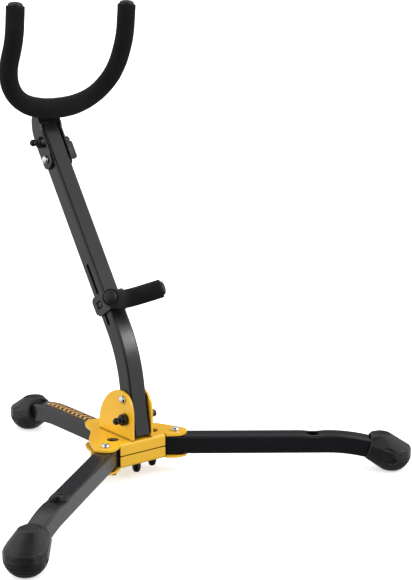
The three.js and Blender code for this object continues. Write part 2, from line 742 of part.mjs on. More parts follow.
add(stand, 'hub_top_plate', topPlate, YELLOW);
add(stand, 'hub_bottom_plate', bottomPlate, YELLOW);
add(stand, 'upright_clevis', clevis, YELLOW);
add(stand, 'clevis_rivet', clevisRivet.translate([0, CLEVIS_RIVET_Y, 0]), CHROME);
add(stand, 'back_leg_rivet', legRivet.translate([0, BACK_RIVET_Y, 0]), CHROME);
add(stand, 'left_leg_rivet', legRivet.translate([-pivotX, pivotY, 0]), CHROME);
add(stand, 'right_leg_rivet', legRivet.translate([pivotX, pivotY, 0]), CHROME);
add(stand, 'upright_rivet', uprightRivet, CHROME);
add(stand, 'hub_bumper', lockKnob.translate([0, BUMPER_Y, 0]), PLASTIC);
add(stand, 'left_leg_pin', lockKnob.translate([-lockX, lockY, 0]), PLASTIC);
add(stand, 'right_leg_pin', lockKnob.translate([lockX, lockY, 0]), PLASTIC);

const basePin = frameAt(stand, -EAR_OUTER - GAP, BASE_PIN_Y, BASE_PIN_Z);
add(basePin, 'base_pin_housing', pinHousing(), PLASTIC);
add(basePin, 'base_pull_pin', pullPin(EAR_OUTER - EAR_INNER + GAP - 0.1), PLASTIC);
const basePinFar = frameAt(stand, EAR_OUTER, BASE_PIN_Y, BASE_PIN_Z);
add(basePinFar, 'base_pin_end', pinEnd(12.5), PLASTIC);

// The legs are built along +X and turned into place about the hub.
const backLegFrame = frameAt(stand, 0, 0, 0);
backLegFrame.rotation.z = Math.PI / 2;
add(backLegFrame, 'back_leg', backLeg, BLACK_STEEL);
add(backLegFrame, 'back_foot', footSolid(backBendX), RUBBER);

const leftLegFrame = frameAt(stand, -pivotX, pivotY, 0);
leftLegFrame.rotation.z = Math.PI + LEG_ANGLE;
add(leftLegFrame, 'left_leg', leftLeg, BLACK_STEEL);
add(leftLegFrame, 'left_foot', footSolid(frontBendX), RUBBER);
add(leftLegFrame, 'left_leg_plug', plug, RUBBER);

const rightLegFrame = frameAt(stand, pivotX, pivotY, 0);
rightLegFrame.rotation.z = -LEG_ANGLE;
add(rightLegFrame, 'right_leg', rightLeg, BLACK_STEEL);
add(rightLegFrame, 'right_foot', footSolid(frontBendX), RUBBER);

add(stand, 'upright_tube', upright, BLACK_STEEL);

const upper = frameAt(stand, bendEnd.x, bendEnd.y, bendEnd.z);
upper.rotation.x = -UPPER_LEAN;
add(upper, 'yoke_bracket', bracketBody, DARK_STEEL);
add(upper, 'yoke_rivet', yokeRivet, CHROME);
add(upper, 'left_spacer', spacer.mirror([1, 0, 0]), PLASTIC);
add(upper, 'right_spacer', spacer, PLASTIC);
add(upper, 'yoke_bolt', yokeBolt, DARK_STEEL);
const yokePin = frameAt(upper, -CHEEK_OUTER - GAP, -YOKE_PIN_FRONT, YOKE_PIN_ALONG);
add(yokePin, 'yoke_pin_housing', pinHousing(), PLASTIC);
add(yokePin, 'yoke_pull_pin', pullPin(CHEEK_OUTER - CHEEK_INNER + GAP - 0.1), PLASTIC);
const yokePinFar = frameAt(upper, CHEEK_OUTER, -YOKE_PIN_FRONT, YOKE_PIN_ALONG);
add(yokePinFar, 'yoke_pin_end', pinEnd(6.5), DARK_STEEL);
add(upper, 'rest_clamp', restClamp, DARK_STEEL);
add(upper, 'rest_pin', restPin, DARK_STEEL);

add(stand, 'yoke_rod', yokeRod, DARK_STEEL);
add(stand, 'yoke_foam', yokeFoam, FOAM);
add(stand, 'left_yoke_cap', yokeCap(-1), FOAM);
add(stand, 'right_yoke_cap', yokeCap(1), FOAM);
add(stand, 'rest_rod', restRod, DARK_STEEL);
add(stand, 'rest_foam', restFoam, FOAM);
add(stand, 'left_rest_cap', restCap(-1), PLASTIC);
add(stand, 'right_rest_cap', restCap(1), PLASTIC);

// The origin is the middle of the stand's footprint, on the floor.
stand.updateMatrixWorld(true);
const bounds = new THREE.Box3().setFromObject(stand, true);
const middle = bounds.getCenter(new THREE.Vector3());
stand.position.set(-middle.x, -middle.y, -bounds.min.z);
stand.updateMatrixWorld(true);

export default stand;
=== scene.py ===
"""Looks of a folding saxophone stand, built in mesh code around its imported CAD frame.

Shapes are made in millimetres in the hub's frame (origin under the hub, +Z up, player's side -Y)
and placed into the row frame in metres.
"""

import json
import math

import bmesh
import bpy
from mathutils import Matrix, Vector, noise
from mathutils.geometry import tessellate_polygon


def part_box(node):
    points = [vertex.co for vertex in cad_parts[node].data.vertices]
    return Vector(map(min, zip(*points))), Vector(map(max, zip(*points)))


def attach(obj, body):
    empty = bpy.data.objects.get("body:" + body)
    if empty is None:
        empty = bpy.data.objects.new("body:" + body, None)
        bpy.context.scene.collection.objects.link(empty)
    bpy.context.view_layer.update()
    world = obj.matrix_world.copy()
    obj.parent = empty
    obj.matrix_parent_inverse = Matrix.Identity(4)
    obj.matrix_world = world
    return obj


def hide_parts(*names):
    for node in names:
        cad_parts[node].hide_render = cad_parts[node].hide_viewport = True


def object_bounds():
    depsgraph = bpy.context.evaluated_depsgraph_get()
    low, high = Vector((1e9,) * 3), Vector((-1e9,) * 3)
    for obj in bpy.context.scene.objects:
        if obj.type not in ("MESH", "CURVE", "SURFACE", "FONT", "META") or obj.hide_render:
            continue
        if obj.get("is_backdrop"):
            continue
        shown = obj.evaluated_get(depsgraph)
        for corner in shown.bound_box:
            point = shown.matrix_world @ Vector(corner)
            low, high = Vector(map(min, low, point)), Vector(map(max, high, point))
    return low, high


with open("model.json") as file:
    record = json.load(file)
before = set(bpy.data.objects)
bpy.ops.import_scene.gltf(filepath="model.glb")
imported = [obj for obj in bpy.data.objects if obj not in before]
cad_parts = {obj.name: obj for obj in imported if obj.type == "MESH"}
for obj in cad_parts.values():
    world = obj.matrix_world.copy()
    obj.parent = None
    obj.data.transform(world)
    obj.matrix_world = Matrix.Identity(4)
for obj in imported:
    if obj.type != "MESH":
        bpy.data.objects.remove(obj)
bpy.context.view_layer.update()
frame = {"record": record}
BODY_OF = {
    node: body
    for body, nodes in frame["record"]["behaviour"]["bodies"].items()
    for node in nodes
}

# ---- Dimensions, in millimetres ----

MM = 0.001
GAP = 0.3

TUBE = 20
TUBE_WALL = 1.5
TUBE_CORNER = 3
CORNER_STEPS = 5

LEG_TOP_Z = 40.5
LEG_Z = LEG_TOP_Z - TUBE / 2
LEG_ANGLE = math.radians(37.3)
PIVOT_RADIUS = 54.7
PIVOT_X = PIVOT_RADIUS * math.cos(LEG_ANGLE)
PIVOT_Y = -PIVOT_RADIUS * math.sin(LEG_ANGLE)
LEG_INNER_END = 30
LEG_BEND_RADIUS = 170
LEG_BEND = math.radians(14)
BEND_TO_FOOT = 67.3
LEG_TAIL = 20
FRONT_BEND_X = 279 - BEND_TO_FOOT - PIVOT_RADIUS
BACK_BEND_X = 182 - BEND_TO_FOOT
PLUG_X = FRONT_BEND_X - 14.7
FOOT_R = 20
TREAD_SCALE = 1.04
PAD_LATITUDE = math.radians(77)

PLATE = 2.5
RIVET_HOLE_R = 3.8
RIVET_SHANK_R = 3.5
KNOB_HOLE_R = 2.9
TOP_PLATE_Z = 43.5
BOTTOM_PLATE_Z = 17.6
SEAM_Z = (TOP_PLATE_Z + BOTTOM_PLATE_Z) / 2
SEAM_GAP = 1.1
SKIRT_Y = -36.9
SKIRT_HALF = 28
FOLD_R = 3
LOBE_R = 12.3
LOCK_FROM_PIVOT = 24
LOCK_X = (PIVOT_RADIUS - LOCK_FROM_PIVOT) * math.cos(LEG_ANGLE)
LOCK_Y = -(PIVOT_RADIUS - LOCK_FROM_PIVOT) * math.sin(LEG_ANGLE)
LOCK_WINDOW_R = 6.2
CLEVIS_RIVET_Y = 10
BACK_RIVET_Y = 31
BUMPER_Y = -25

EAR_INNER = 10.5
EAR_OUTER = 12.8
EAR_TOP_Z = 92.4
EAR_FRONT_Y = -36.8
EAR_BACK_Y = 22.6
CLEVIS_WEB = 2.3
CLEVIS_Z = TOP_PLATE_Z + GAP
PIN_HOLE_R = 2.7
UPRIGHT_PIVOT = Vector((0, -20.7, 83.9))
BASE_PIN = (-24.5, 64)
LOWER_LEAN = math.radians(9.8)
UPPER_LEAN = math.radians(34.3)
UPRIGHT_BELOW = 38.2
UPRIGHT_ABOVE = 15
UPRIGHT_ARC_R = 137.2
UPRIGHT_TOP = 230.6

SLOT_HALF = 2.1
SLOT_LOW = 5.6
SLOT_HIGH = 70.4

YOKE_PIVOT = 193.7
YOKE_HOLE_R = 3.3
YOKE_PIN = (-5, 212)
CHEEK_INNER = 11.6
CHEEK_OUTER = 13.4
YOKE_FOAM_R = 9.5
YOKE_ROD_R = 4
YOKE_HALF = 66.6
YOKE_BOWL = 65
YOKE_ARM = 49.5
YOKE_CENTRE = (-26.5, 239.5)
YOKE_CURVE = 0.86  # below 1 the bowl is squarer than an ellipse
YOKE_LEAN = (25, 5)  # degrees, in the bowl and along the arms
YOKE_LEAN_EASE = (62, 100)  # heights between which one lean turns into the other
YOKE_ROLL = math.radians(1)  # the yoke sits a little askew on its bolt

REST_ALONG = 27
REST_HALF = 31.3
REST_FOAM_R = 9.5
REST_ROD_R = 3.5
REST_BEND = 0.45
REST_FRONT = 28
REST_REACH = 21.6
REST_LEVEL = 19.4
REST_DROP = 2.6

CLAMP_INNER = 10.4
CLAMP_OUTER = 12.6
CLAMP_WINDOW = 3.9


# ---- Frames: each takes local millimetres to the row frame in metres ----


def shift(x, y, z):
    return Matrix.Translation((x, y, z))


def turn(angle, axis):
    return Matrix.Rotation(angle, 4, axis)


rivet_low, rivet_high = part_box("clevis_rivet")
HUB = shift(0, (rivet_low.y + rivet_high.y) / 2 - CLEVIS_RIVET_Y * MM, 0) @ Matrix.Scale(MM, 4)
LEFT_LEG = HUB @ shift(-PIVOT_X, PIVOT_Y, 0) @ turn(math.pi + LEG_ANGLE, "Z")
RIGHT_LEG = HUB @ shift(PIVOT_X, PIVOT_Y, 0) @ turn(-LEG_ANGLE, "Z")
BACK_LEG = HUB @ turn(math.pi / 2, "Z")

lower_dir = Vector((0, math.sin(LOWER_LEAN), math.cos(LOWER_LEAN)))
lower_back = Vector((0, math.cos(LOWER_LEAN), -math.sin(LOWER_LEAN)))
UPRIGHT_TURN = UPPER_LEAN - LOWER_LEAN
BEND_END = (
    UPRIGHT_PIVOT
    + lower_dir * (UPRIGHT_ABOVE + UPRIGHT_ARC_R * math.sin(UPRIGHT_TURN))
    + lower_back * (UPRIGHT_ARC_R * (1 - math.cos(UPRIGHT_TURN)))
)
IN_HUB_UPPER = shift(*BEND_END) @ turn(-UPPER_LEAN, "X")
UPPER = HUB @ IN_HUB_UPPER


# ---- Mesh helpers ----


def new_object(name, bm):
    bmesh.ops.recalc_face_normals(bm, faces=bm.faces)
    mesh = bpy.data.meshes.new(name)
    bm.to_mesh(mesh)
    bm.free()
    obj = bpy.data.objects.new(name, mesh)
    bpy.context.scene.collection.objects.link(obj)
    return obj


def settle(obj):
    """Applies the object's modifiers to its own mesh."""
    graph = bpy.context.evaluated_depsgraph_get()
    mesh = bpy.data.meshes.new_from_object(obj.evaluated_get(graph), depsgraph=graph)
    obj.modifiers.clear()
    obj.data = mesh
    return obj


def combine(obj, operation, *tools):
    for tool in tools:
        step = obj.modifiers.new("combine", "BOOLEAN")
        step.operation = operation
        step.solver = "EXACT"
        step.object = tool
    settle(obj)
    for tool in tools:
        bpy.data.objects.remove(tool)
    return obj


def join(obj, *tools):
    return combine(obj, "UNION", *tools)


def cut(obj, *tools):
    return combine(obj, "DIFFERENCE", *tools)


def clean(obj, flat=0.3):
    """Merges doubled points and faces that lie in one plane."""
    bm = bmesh.new()
    bm.from_mesh(obj.data)
    bmesh.ops.remove_doubles(bm, verts=bm.verts, dist=0.002)
    bmesh.ops.dissolve_limit(bm, angle_limit=math.radians(flat), verts=bm.verts, edges=bm.edges)
    bm.to_mesh(obj.data)
    bm.free()
    return obj


def bevel(obj, width, steps, angle):
    """Rounds every edge that turns by more than angle degrees."""
    step = obj.modifiers.new("bevel", "BEVEL")
    step.width = width
    step.segments = steps
    step.limit_method = "ANGLE"
    step.angle_limit = math.radians(angle)
    return settle(obj)


def soften(obj, width, steps=2, angle=32):
    """Cleans a mesh and rounds its edges."""
    return bevel(clean(obj), width, steps, angle)


def loft(rings, wrap=False, name="loft"):
    """Skins rings of equal count; the ends are closed, or joined to each other when wrap is set."""
    bm = bmesh.new()
    made = [[bm.verts.new(p) for p in ring] for ring in rings]
    pairs = list(zip(made, made[1:]))
    if wrap:
        pairs.append((made[-1], made[0]))
    for low, high in pairs:
        for i, _ in enumerate(low):
            j = (i + 1) % len(low)
            bm.faces.new((low[i], low[j], high[j], high[i]))
    if not wrap:
        bm.faces.new(made[0])
        bm.faces.new(made[-1])
    return new_object(name, bm)


def turned(profile, axis="z", steps=48, ring=False):
    """A body of revolution from (radius, height) pairs; a ring's profile closes on itself."""
    bm = bmesh.new()
    made = []
    for r, h in profile:
        if r < 1e-6:
            made.append([bm.verts.new((0, 0, h))] * steps)
        else:
            angles = [math.tau * i / steps for i in range(steps)]
            made.append([bm.verts.new((r * math.cos(a), r * math.sin(a), h)) for a in angles])
    pairs = list(zip(made, made[1:]))
    if ring:
        pairs.append((made[-1], made[0]))
    for low, high in pairs:
        for i in range(steps):
            j = (i + 1) % steps
            corners = []
            for v in (low[i], low[j], high[j], high[i]):
                if v not in corners:
                    corners.append(v)
            if len(corners) > 2:
                bm.faces.new(corners)
    obj = new_object("turned", bm)
    if axis == "x":
        obj.data.transform(turn(math.pi / 2, "Y"))
    return obj


def rod(r, low, high, axis="z", steps=40):
    return turned([(0, low), (r, low), (r, high), (0, high)], axis, steps)


def dome(r, start, rise, count=7):
    """(radius, height) pairs of a dome that starts at height start and ends on the axis."""
    out = []
    for i in range(count + 1):
        a = math.pi / 2 * i / count
        out.append((r * math.cos(a), start + rise * math.sin(a)))
    return out


def moved(obj, x=0, y=0, z=0):
    obj.data.transform(shift(x, y, z))
    return obj


def rounded(points, steps=8):
    """A closed outline whose corners, given as (u, v, reach), are eased by a curve."""
    out = []
    count = len(points)
    for i, (u, v, reach) in enumerate(points):
        here = Vector((u, v))
        before = Vector(points[i - 1][:2]) - here
        after = Vector(points[(i + 1) % count][:2]) - here
        span = min(reach, before.length * 0.49, after.length * 0.49)
        if span < 1e-6:
            out.append(here)
            continue
        a = here + before.normalized() * span
        b = here + after.normalized() * span
        for k in range(steps + 1):
            t = k / steps
            out.append(a * (1 - t) ** 2 + here * 2 * t * (1 - t) + b * t * t)
    return [(p.x, p.y) for p in out]


def circle(u, v, r, steps=36):
    angles = [math.tau * i / steps for i in range(steps)]
    return [(u + r * math.cos(a), v + r * math.sin(a)) for a in angles]


def slab(outline, holes, low, high, across="z"):
    """A flat plate between two heights along an axis; its outline is (x, y), or (y, z) across x."""
    loops = [outline, *holes]
    flat = [(u, v) for loop in loops for u, v in loop]

    def at(u, v, w):
        return (u, v, w) if across == "z" else (w, u, v)

    bm = bmesh.new()
    bottom = [bm.verts.new(at(u, v, low)) for u, v in flat]
    top = [bm.verts.new(at(u, v, high)) for u, v in flat]
    for tri in tessellate_polygon([[Vector((u, v, 0)) for u, v in loop] for loop in loops]):
        bm.faces.new([bottom[i] for i in tri])
        bm.faces.new([top[i] for i in tri])
    first = 0
    for loop in loops:
        for i in range(len(loop)):
            a = first + i
            b = first + (i + 1) % len(loop)
            bm.faces.new((bottom[a], bottom[b], top[b], top[a]))
        first += len(loop)
    return new_object("slab", bm)


def box(x0, x1, y0, y1, z0, z1):
    return slab([(x0, y0), (x1, y0), (x1, y1), (x0, y1)], [], z0, z1)


def square(half, corner):
    """Points of a square section with round corners."""
    out = []
    for k, (su, sv) in enumerate([(1, 1), (-1, 1), (-1, -1), (1, -1)]):
        for i in range(CORNER_STEPS + 1):
            a = math.pi / 2 * (k + i / CORNER_STEPS)
            out.append((
                su * (half - corner) + corner * math.cos(a),
                sv * (half - corner) + corner * math.sin(a),
            ))
    return out


def bent_path(start, along, across, first, radius, angle, second, stops=()):
    """(point, tangent) pairs of a straight, an arc and a straight.

    stops adds places on the first straight.
    """
    out = []
    for s in sorted({0, first * 0.5, *stops}):
        out.append((start + along * s, along.copy()))
    turns = max(6, round(math.degrees(angle) / 1.4))
    for i in range(turns + 1):
        a = angle * i / turns
        forward = along * (first + radius * math.sin(a))
        point = start + forward + across * (radius * (1 - math.cos(a)))
        out.append((point, along * math.cos(a) + across * math.sin(a)))
    point, tangent = out[-1]
    out.append((point + tangent * second * 0.5, tangent))
    out.append((point + tangent * second, tangent))
    return out


def square_rings(path, side, section):
    rings = []
    for point, tangent in path:
        up = tangent.cross(side)
        rings.append([point + side * u + up * v for u, v in section])
    return rings


def square_tube(path, side, shape=None):
    """A hollow tube with open ends; shape may move each ring's points."""
    outer = square_rings(path, side, square(TUBE / 2, TUBE_CORNER))
    inner = square_rings(path, side, square(TUBE / 2 - TUBE_WALL, TUBE_CORNER - TUBE_WALL))
    rings = outer + inner[::-1]
    if shape:
        rings = [[shape(p) for p in ring] for ring in rings]
    return loft(rings, wrap=True)


def smoothstep(x, low, high):
    t = min(1.0, max(0.0, (x - low) / (high - low)))
    return t * t * (3 - 2 * t)


# ---- Materials: patterns are in the row frame's metres, so that they run across pieces ----


def add(tree, kind, settings=None, **sockets):
    """A new node; its sockets are given by name, or as i0, i1 and so on by number."""
    made = tree.nodes.new(kind)
    for key, value in (settings or {}).items():
        setattr(made, key, value)
    for key, value in sockets.items():
        numbered = key[0] == "i" and key[1:].isdigit()
        socket = made.inputs[int(key[1:]) if numbered else key]
        if isinstance(value, bpy.types.NodeSocket):
            tree.links.new(value, socket)
        else:
            socket.default_value = value
    return made


def place_of(tree, stretch=None):
    here = add(tree, "ShaderNodeTexCoord").outputs["Object"]
    if stretch:
        here = add(tree, "ShaderNodeMapping", Vector=here, Scale=stretch).outputs["Vector"]
    return here


def cloud(tree, scale, detail=2.0, rough=0.5, stretch=None):
    where = place_of(tree, stretch)
    made = add(
        tree, "ShaderNodeTexNoise", Vector=where, Scale=scale, Detail=detail, Roughness=rough
    )
    return made.outputs["Fac"]


def span(tree, value, a, b, low, high):
    """value from a to b becomes low to high, and stays between them."""
    made = add(tree, "ShaderNodeMapRange", i0=value, i1=a, i2=b, i3=low, i4=high)
    return made.outputs["Result"]


def sums(tree, operation, a, b=0.0):
    made = add(tree, "ShaderNodeMath", {"operation": operation}, i0=a, i1=b)
    return made.outputs["Value"]


def times(tree, first, *rest):
    for value in rest:
        first = sums(tree, "MULTIPLY", first, value)
    return first


def blend(tree, factor, first, second):
    made = add(tree, "ShaderNodeMix", {"data_type": "RGBA"})
    for socket, value in ((0, factor), (6, first), (7, second)):
        if isinstance(value, bpy.types.NodeSocket):
            tree.links.new(value, made.inputs[socket])
        else:
            made.inputs[socket].default_value = (*value, 1.0) if socket else value
    return made.outputs[2]


def edges(tree, radius):
    """1 on outer edges narrower than radius, 0 on open faces."""
    soft = add(tree, "ShaderNodeBevel", {"samples": 6}, Radius=radius)
    true = add(tree, "ShaderNodeNewGeometry")
    dot = add(
        tree,
        "ShaderNodeVectorMath",
        {"operation": "DOT_PRODUCT"},
        i0=soft.outputs["Normal"],
        i1=true.outputs["Normal"],
    )
    return span(tree, dot.outputs["Value"], 0.995, 0.86, 0.0, 1.0)


def bump(tree, height, distance, strength=1.0, under=None):
    made = add(tree, "ShaderNodeBump", Height=height, Distance=distance, Strength=strength)
    if under:
        tree.links.new(under, made.inputs["Normal"])
    return made.outputs["Normal"]


def material(name, **fixed):
    """A new material, its node tree and its surface shader with the fixed sockets set."""
    made = bpy.data.materials.new(name)
    made.use_nodes = True
    tree = made.node_tree
    shader = tree.nodes["Principled BSDF"]
    for key, value in fixed.items():
        shader.inputs[key.replace("_", " ")].default_value = value
    return made, tree, shader


def wire(tree, shader, color, rough, normal=None):
    tree.links.new(color, shader.inputs["Base Color"])
    tree.links.new(rough, shader.inputs["Roughness"])
    if normal:
        tree.links.new(normal, shader.inputs["Normal"])


def enamel(name, color, deep, worn, rough, grain, wear, recess_shade=None):
    """Sprayed paint on steel: shade drift, orange peel, smudges, rubbed edges, and painted shade
    that darkens corners and recesses.
    """
    made, tree, shader = material(name)
    drift = span(tree, cloud(tree, 26, 3), 0.35, 0.7, 0.0, 1.0)
    fleck = span(tree, cloud(tree, 2600, 1), 0.3, 0.75, 0.0, 1.0)
    base = blend(tree, drift, color, deep)
    base = blend(tree, times(tree, fleck, 0.2), base, deep)
    rubbed = span(tree, cloud(tree, 240, 4, 0.65), 0.47, 0.62, 0.0, 1.0)
    base = blend(tree, times(tree, edges(tree, 0.0007), rubbed, wear), base, worn)
    if recess_shade:
        # Painted shade: ambient occlusion blends corners, seams and hole walls towards a dark
        # colour.
        air = add(tree, "ShaderNodeAmbientOcclusion", {"samples": 6}, Distance=0.006)
        base = blend(tree, span(tree, air.outputs["AO"], 0.46, 0.64, 0.95, 0.0), base, recess_shade)
    smudge = span(tree, cloud(tree, 55, 4, 0.6), 0.3, 0.75, rough[0], rough[1])
    fine = span(tree, cloud(tree, 900, 2), 0.3, 0.7, -0.03, 0.04)
    rough_now = sums(tree, "ADD", smudge, fine)
    skin = bump(tree, cloud(tree, grain, 2, 0.55), 0.00004, 0.1)
    skin = bump(tree, cloud(tree, 120, 2), 0.0002, 0.06, skin)
    wire(tree, shader, base, rough_now, skin)
    return made


PRINT_FROM = 50
PRINT_LENGTH = 91
CHEVRON_PITCH = 7.8
CHEVRON_HALF = 4.7
RULE_INNER = 5.6
RULE_OUTER = 6.2


def printed(made):
    """Adds a generic gold chevron band to a paint, on the upper face of the back leg."""
    tree = made.node_tree
    shader = tree.nodes["Principled BSDF"]
    paint = shader.inputs["Base Color"].links[0].from_socket
    matt = shader.inputs["Roughness"].links[0].from_socket
    at = add(tree, "ShaderNodeSeparateXYZ", Vector=place_of(tree)).outputs
    normal = add(tree, "ShaderNodeNewGeometry").outputs["Normal"]
    facing = add(tree, "ShaderNodeSeparateXYZ", Vector=normal).outputs["Z"]
    off = sums(tree, "ABSOLUTE", at["X"])
    along = sums(tree, "SUBTRACT", at["Y"], PRINT_FROM * MM + HUB.translation.y)
    slanted = sums(tree, "ADD", along, times(tree, off, 0.9))
    phase = sums(tree, "FRACT", sums(tree, "DIVIDE", slanted, CHEVRON_PITCH * MM))

    def within(value, low, high):
        over = sums(tree, "GREATER_THAN", value, low)
        return times(tree, over, sums(tree, "LESS_THAN", value, high))

    chevron = times(
        tree, sums(tree, "LESS_THAN", phase, 0.56), sums(tree, "LESS_THAN", off, CHEVRON_HALF * MM)
    )
    mark = times(
        tree,
        sums(tree, "MAXIMUM", chevron, within(off, RULE_INNER * MM, RULE_OUTER * MM)),
        within(along, 0.0, PRINT_LENGTH * MM),
        sums(tree, "GREATER_THAN", facing, 0.93),
        span(tree, cloud(tree, 700, 3, 0.6), 0.28, 0.36, 0.55, 1.0),
    )
    matter = sums(tree, "ADD", matt, times(tree, mark, 0.08))
    tree.links.new(blend(tree, mark, paint, (0.66, 0.37, 0.1)), shader.inputs["Base Color"])
    tree.links.new(matter, shader.inputs["Roughness"])
    return made


def plated(name, color, rough):
    """Bright plated metal with hairline scratches and faint clouding."""
    made, tree, shader = material(name, Metallic=1.0)
    haze = span(tree, cloud(tree, 420, 3), 0.3, 0.7, 0.0, 1.0)
    base = blend(tree, haze, color, tuple(c * 0.86 for c in color))
    lines = cloud(tree, 900, 3, 0.7, stretch=(1.0, 0.12, 1.0))
    rough_now = span(tree, lines, 0.3, 0.75, rough[0], rough[1])
    wire(tree, shader, base, rough_now, bump(tree, lines, 0.00002, 0.35))
    return made


def sponge(name, color, dusty):
    """Closed cell foam: near black, matt, with fine pores and soft unevenness."""
    made, tree, shader = material(
        name, Specular_IOR_Level=0.14, Sheen_Weight=0.03, Sheen_Roughness=0.6
    )
    where = place_of(tree)
    pores = add(tree, "ShaderNodeTexVoronoi", {"feature": "F1"}, Vector=where, Scale=1500.0)
    pore = span(tree, pores.outputs["Distance"], 0.0, 0.55, 0.0, 1.0)
    grain = cloud(tree, 2400, 3, 0.6)
    patch = span(tree, cloud(tree, 60, 4, 0.55), 0.38, 0.7, 0.0, 1.0)
    fuzz = span(tree, grain, 0.45, 0.75, 0.0, 1.0)
    base = blend(tree, times(tree, patch, 0.55), color, dusty)
    base = blend(tree, times(tree, fuzz, 0.5), base, dusty)
    rough_now = span(tree, grain, 0.3, 0.7, 0.82, 0.97)
    skin = bump(tree, sums(tree, "ADD", pore, grain), 0.00012, 0.55)
    skin = bump(tree, cloud(tree, 210, 3), 0.0004, 0.25, skin)
    wire(tree, shader, base, rough_now, skin)
    return made


def moulded(name, color, light, rough, level, scuffed=0.0):
    """Moulded rubber or plastic; scuffed greys it near the floor and on its edges."""
    made, tree, shader = material(name, Specular_IOR_Level=level)
    drift = span(tree, cloud(tree, 90, 3), 0.35, 0.7, 0.0, 1.0)
    base = blend(tree, drift, color, light)
    grain = cloud(tree, 1700, 2, 0.6)
    rough_now = span(tree, cloud(tree, 160, 4, 0.6), 0.3, 0.7, rough[0], rough[1])
    if scuffed:
        height = add(tree, "ShaderNodeSeparateXYZ", Vector=place_of(tree)).outputs["Z"]
        low = span(tree, height, 0.001, 0.011, 1.0, 0.0)
        dust = times(tree, low, span(tree, cloud(tree, 420, 4, 0.65), 0.4, 0.65, 0.0, scuffed))
        rub = span(tree, cloud(tree, 300, 3), 0.4, 0.6, 0.0, 0.5)
        rim = times(tree, edges(tree, 0.0009), rub)
        base = blend(tree, sums(tree, "MAXIMUM", dust, rim), base, tuple(c * 3.2 for c in light))
    wire(tree, shader, base, rough_now, bump(tree, grain, 0.00005, 0.4))
    return made


BLACK_POWDER = {
    "color": (0.0135, 0.013, 0.015),
    "deep": (0.0105, 0.010, 0.0115),
    "worn": (0.085, 0.085, 0.09),
    "rough": (0.21, 0.28),
    "grain": 2100,
    "wear": 0.3,
}
LOOKS = {
    "yellow_paint": enamel(
        "YellowEnamel",
        color=(0.91, 0.525, 0.022),
        deep=(0.88, 0.49, 0.018),
        worn=(0.95, 0.70, 0.26),
        rough=(0.27, 0.33),
        grain=1500,
        wear=0.3,
        # painted shade colour for corners, seams and the lock hole walls
        recess_shade=(0.035, 0.014, 0.004),
    ),
    "black_paint": enamel("BlackPowderCoat", **BLACK_POWDER),
    "dark_steel": enamel(
        "GreyCoat",
        color=(0.0125, 0.012, 0.0135),
        deep=(0.0095, 0.009, 0.0105),
        worn=(0.20, 0.20, 0.21),
        rough=(0.27, 0.37),
        grain=1900,
        wear=0.55,
    ),
    "chrome_rivet": plated("BrightPlate", (0.83, 0.83, 0.85), (0.07, 0.17)),
    "zinc_rod": plated("DrawnSteel", (0.45, 0.45, 0.46), (0.28, 0.42)),
    "foam": sponge("BlackFoam", (0.0062, 0.0055, 0.0062), (0.0125, 0.0112, 0.0122)),
    "foot_rubber": moulded(
        "FootRubber", (0.0125, 0.012, 0.0135), (0.0165, 0.016, 0.0178), (0.28, 0.38), 0.36, 0.4
    ),
    "black_plastic": moulded(
        "GlossPlastic", (0.0045, 0.0042, 0.0047), (0.007, 0.0066, 0.0071), (0.14, 0.25), 0.4
    ),
}
SATIN_PLASTIC = moulded(
    "SatinPlastic", (0.0085, 0.0082, 0.0095), (0.012, 0.0115, 0.0135), (0.36, 0.5), 0.38
)
PRINTED_LEG = printed(enamel("PrintedPowderCoat", **BLACK_POWDER))


def dress(obj, name, place, nodes, slot, sharp=35, even=True, look=None):
    """Places a finished mesh, gives it its material, and lets it stand for its CAD nodes."""
    nodes = [nodes] if isinstance(nodes, str) else nodes
    obj.name = name
    obj.data.name = name
    obj.data.transform(place)
    obj.data.shade_smooth()
    obj.data.set_sharp_from_angle(angle=math.radians(sharp))
    if even:
        step = obj.modifiers.new("even", "WEIGHTED_NORMAL")
        step.keep_sharp = True
        step.weight = 60
    obj.data.materials.clear()
    obj.data.materials.append(look or LOOKS[slot])
    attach(obj, BODY_OF[nodes[0]])
    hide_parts(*nodes)
    return obj


# ---- Hub plates: one sheet each, whose front edge folds into the skirt ----

FOLD_Y = SKIRT_Y + FOLD_R
FOLD_LENGTH = FOLD_R * math.pi / 2
RELIEF = 0.6


def plate_outline():
    skirt_end = FOLD_Y - FOLD_LENGTH - (TOP_PLATE_Z - FOLD_R - SEAM_Z - SEAM_GAP / 2)
    lobe = []
    for degrees in range(-118, 23, 7):
        a = math.radians(degrees)
        lobe.append((PIVOT_X + LOBE_R * math.cos(a), PIVOT_Y + LOBE_R * math.sin(a), 0))
    right = [
        (SKIRT_HALF, skirt_end, 1.2),
        (SKIRT_HALF, FOLD_Y, 0),
        (SKIRT_HALF + RELIEF, FOLD_Y, 0),
        (SKIRT_HALF + 1.2, SKIRT_Y - 1.9, 2),
        *lobe,
        (44, -3, 10),
        (33, 9.5, 9),
        (22.5, 24, 8),
        (20.5, 36, 9),
        (14, 49, 10),
    ]
    left = [(-u, v, r) for u, v, r in reversed(right)]
    return rounded(right + left)


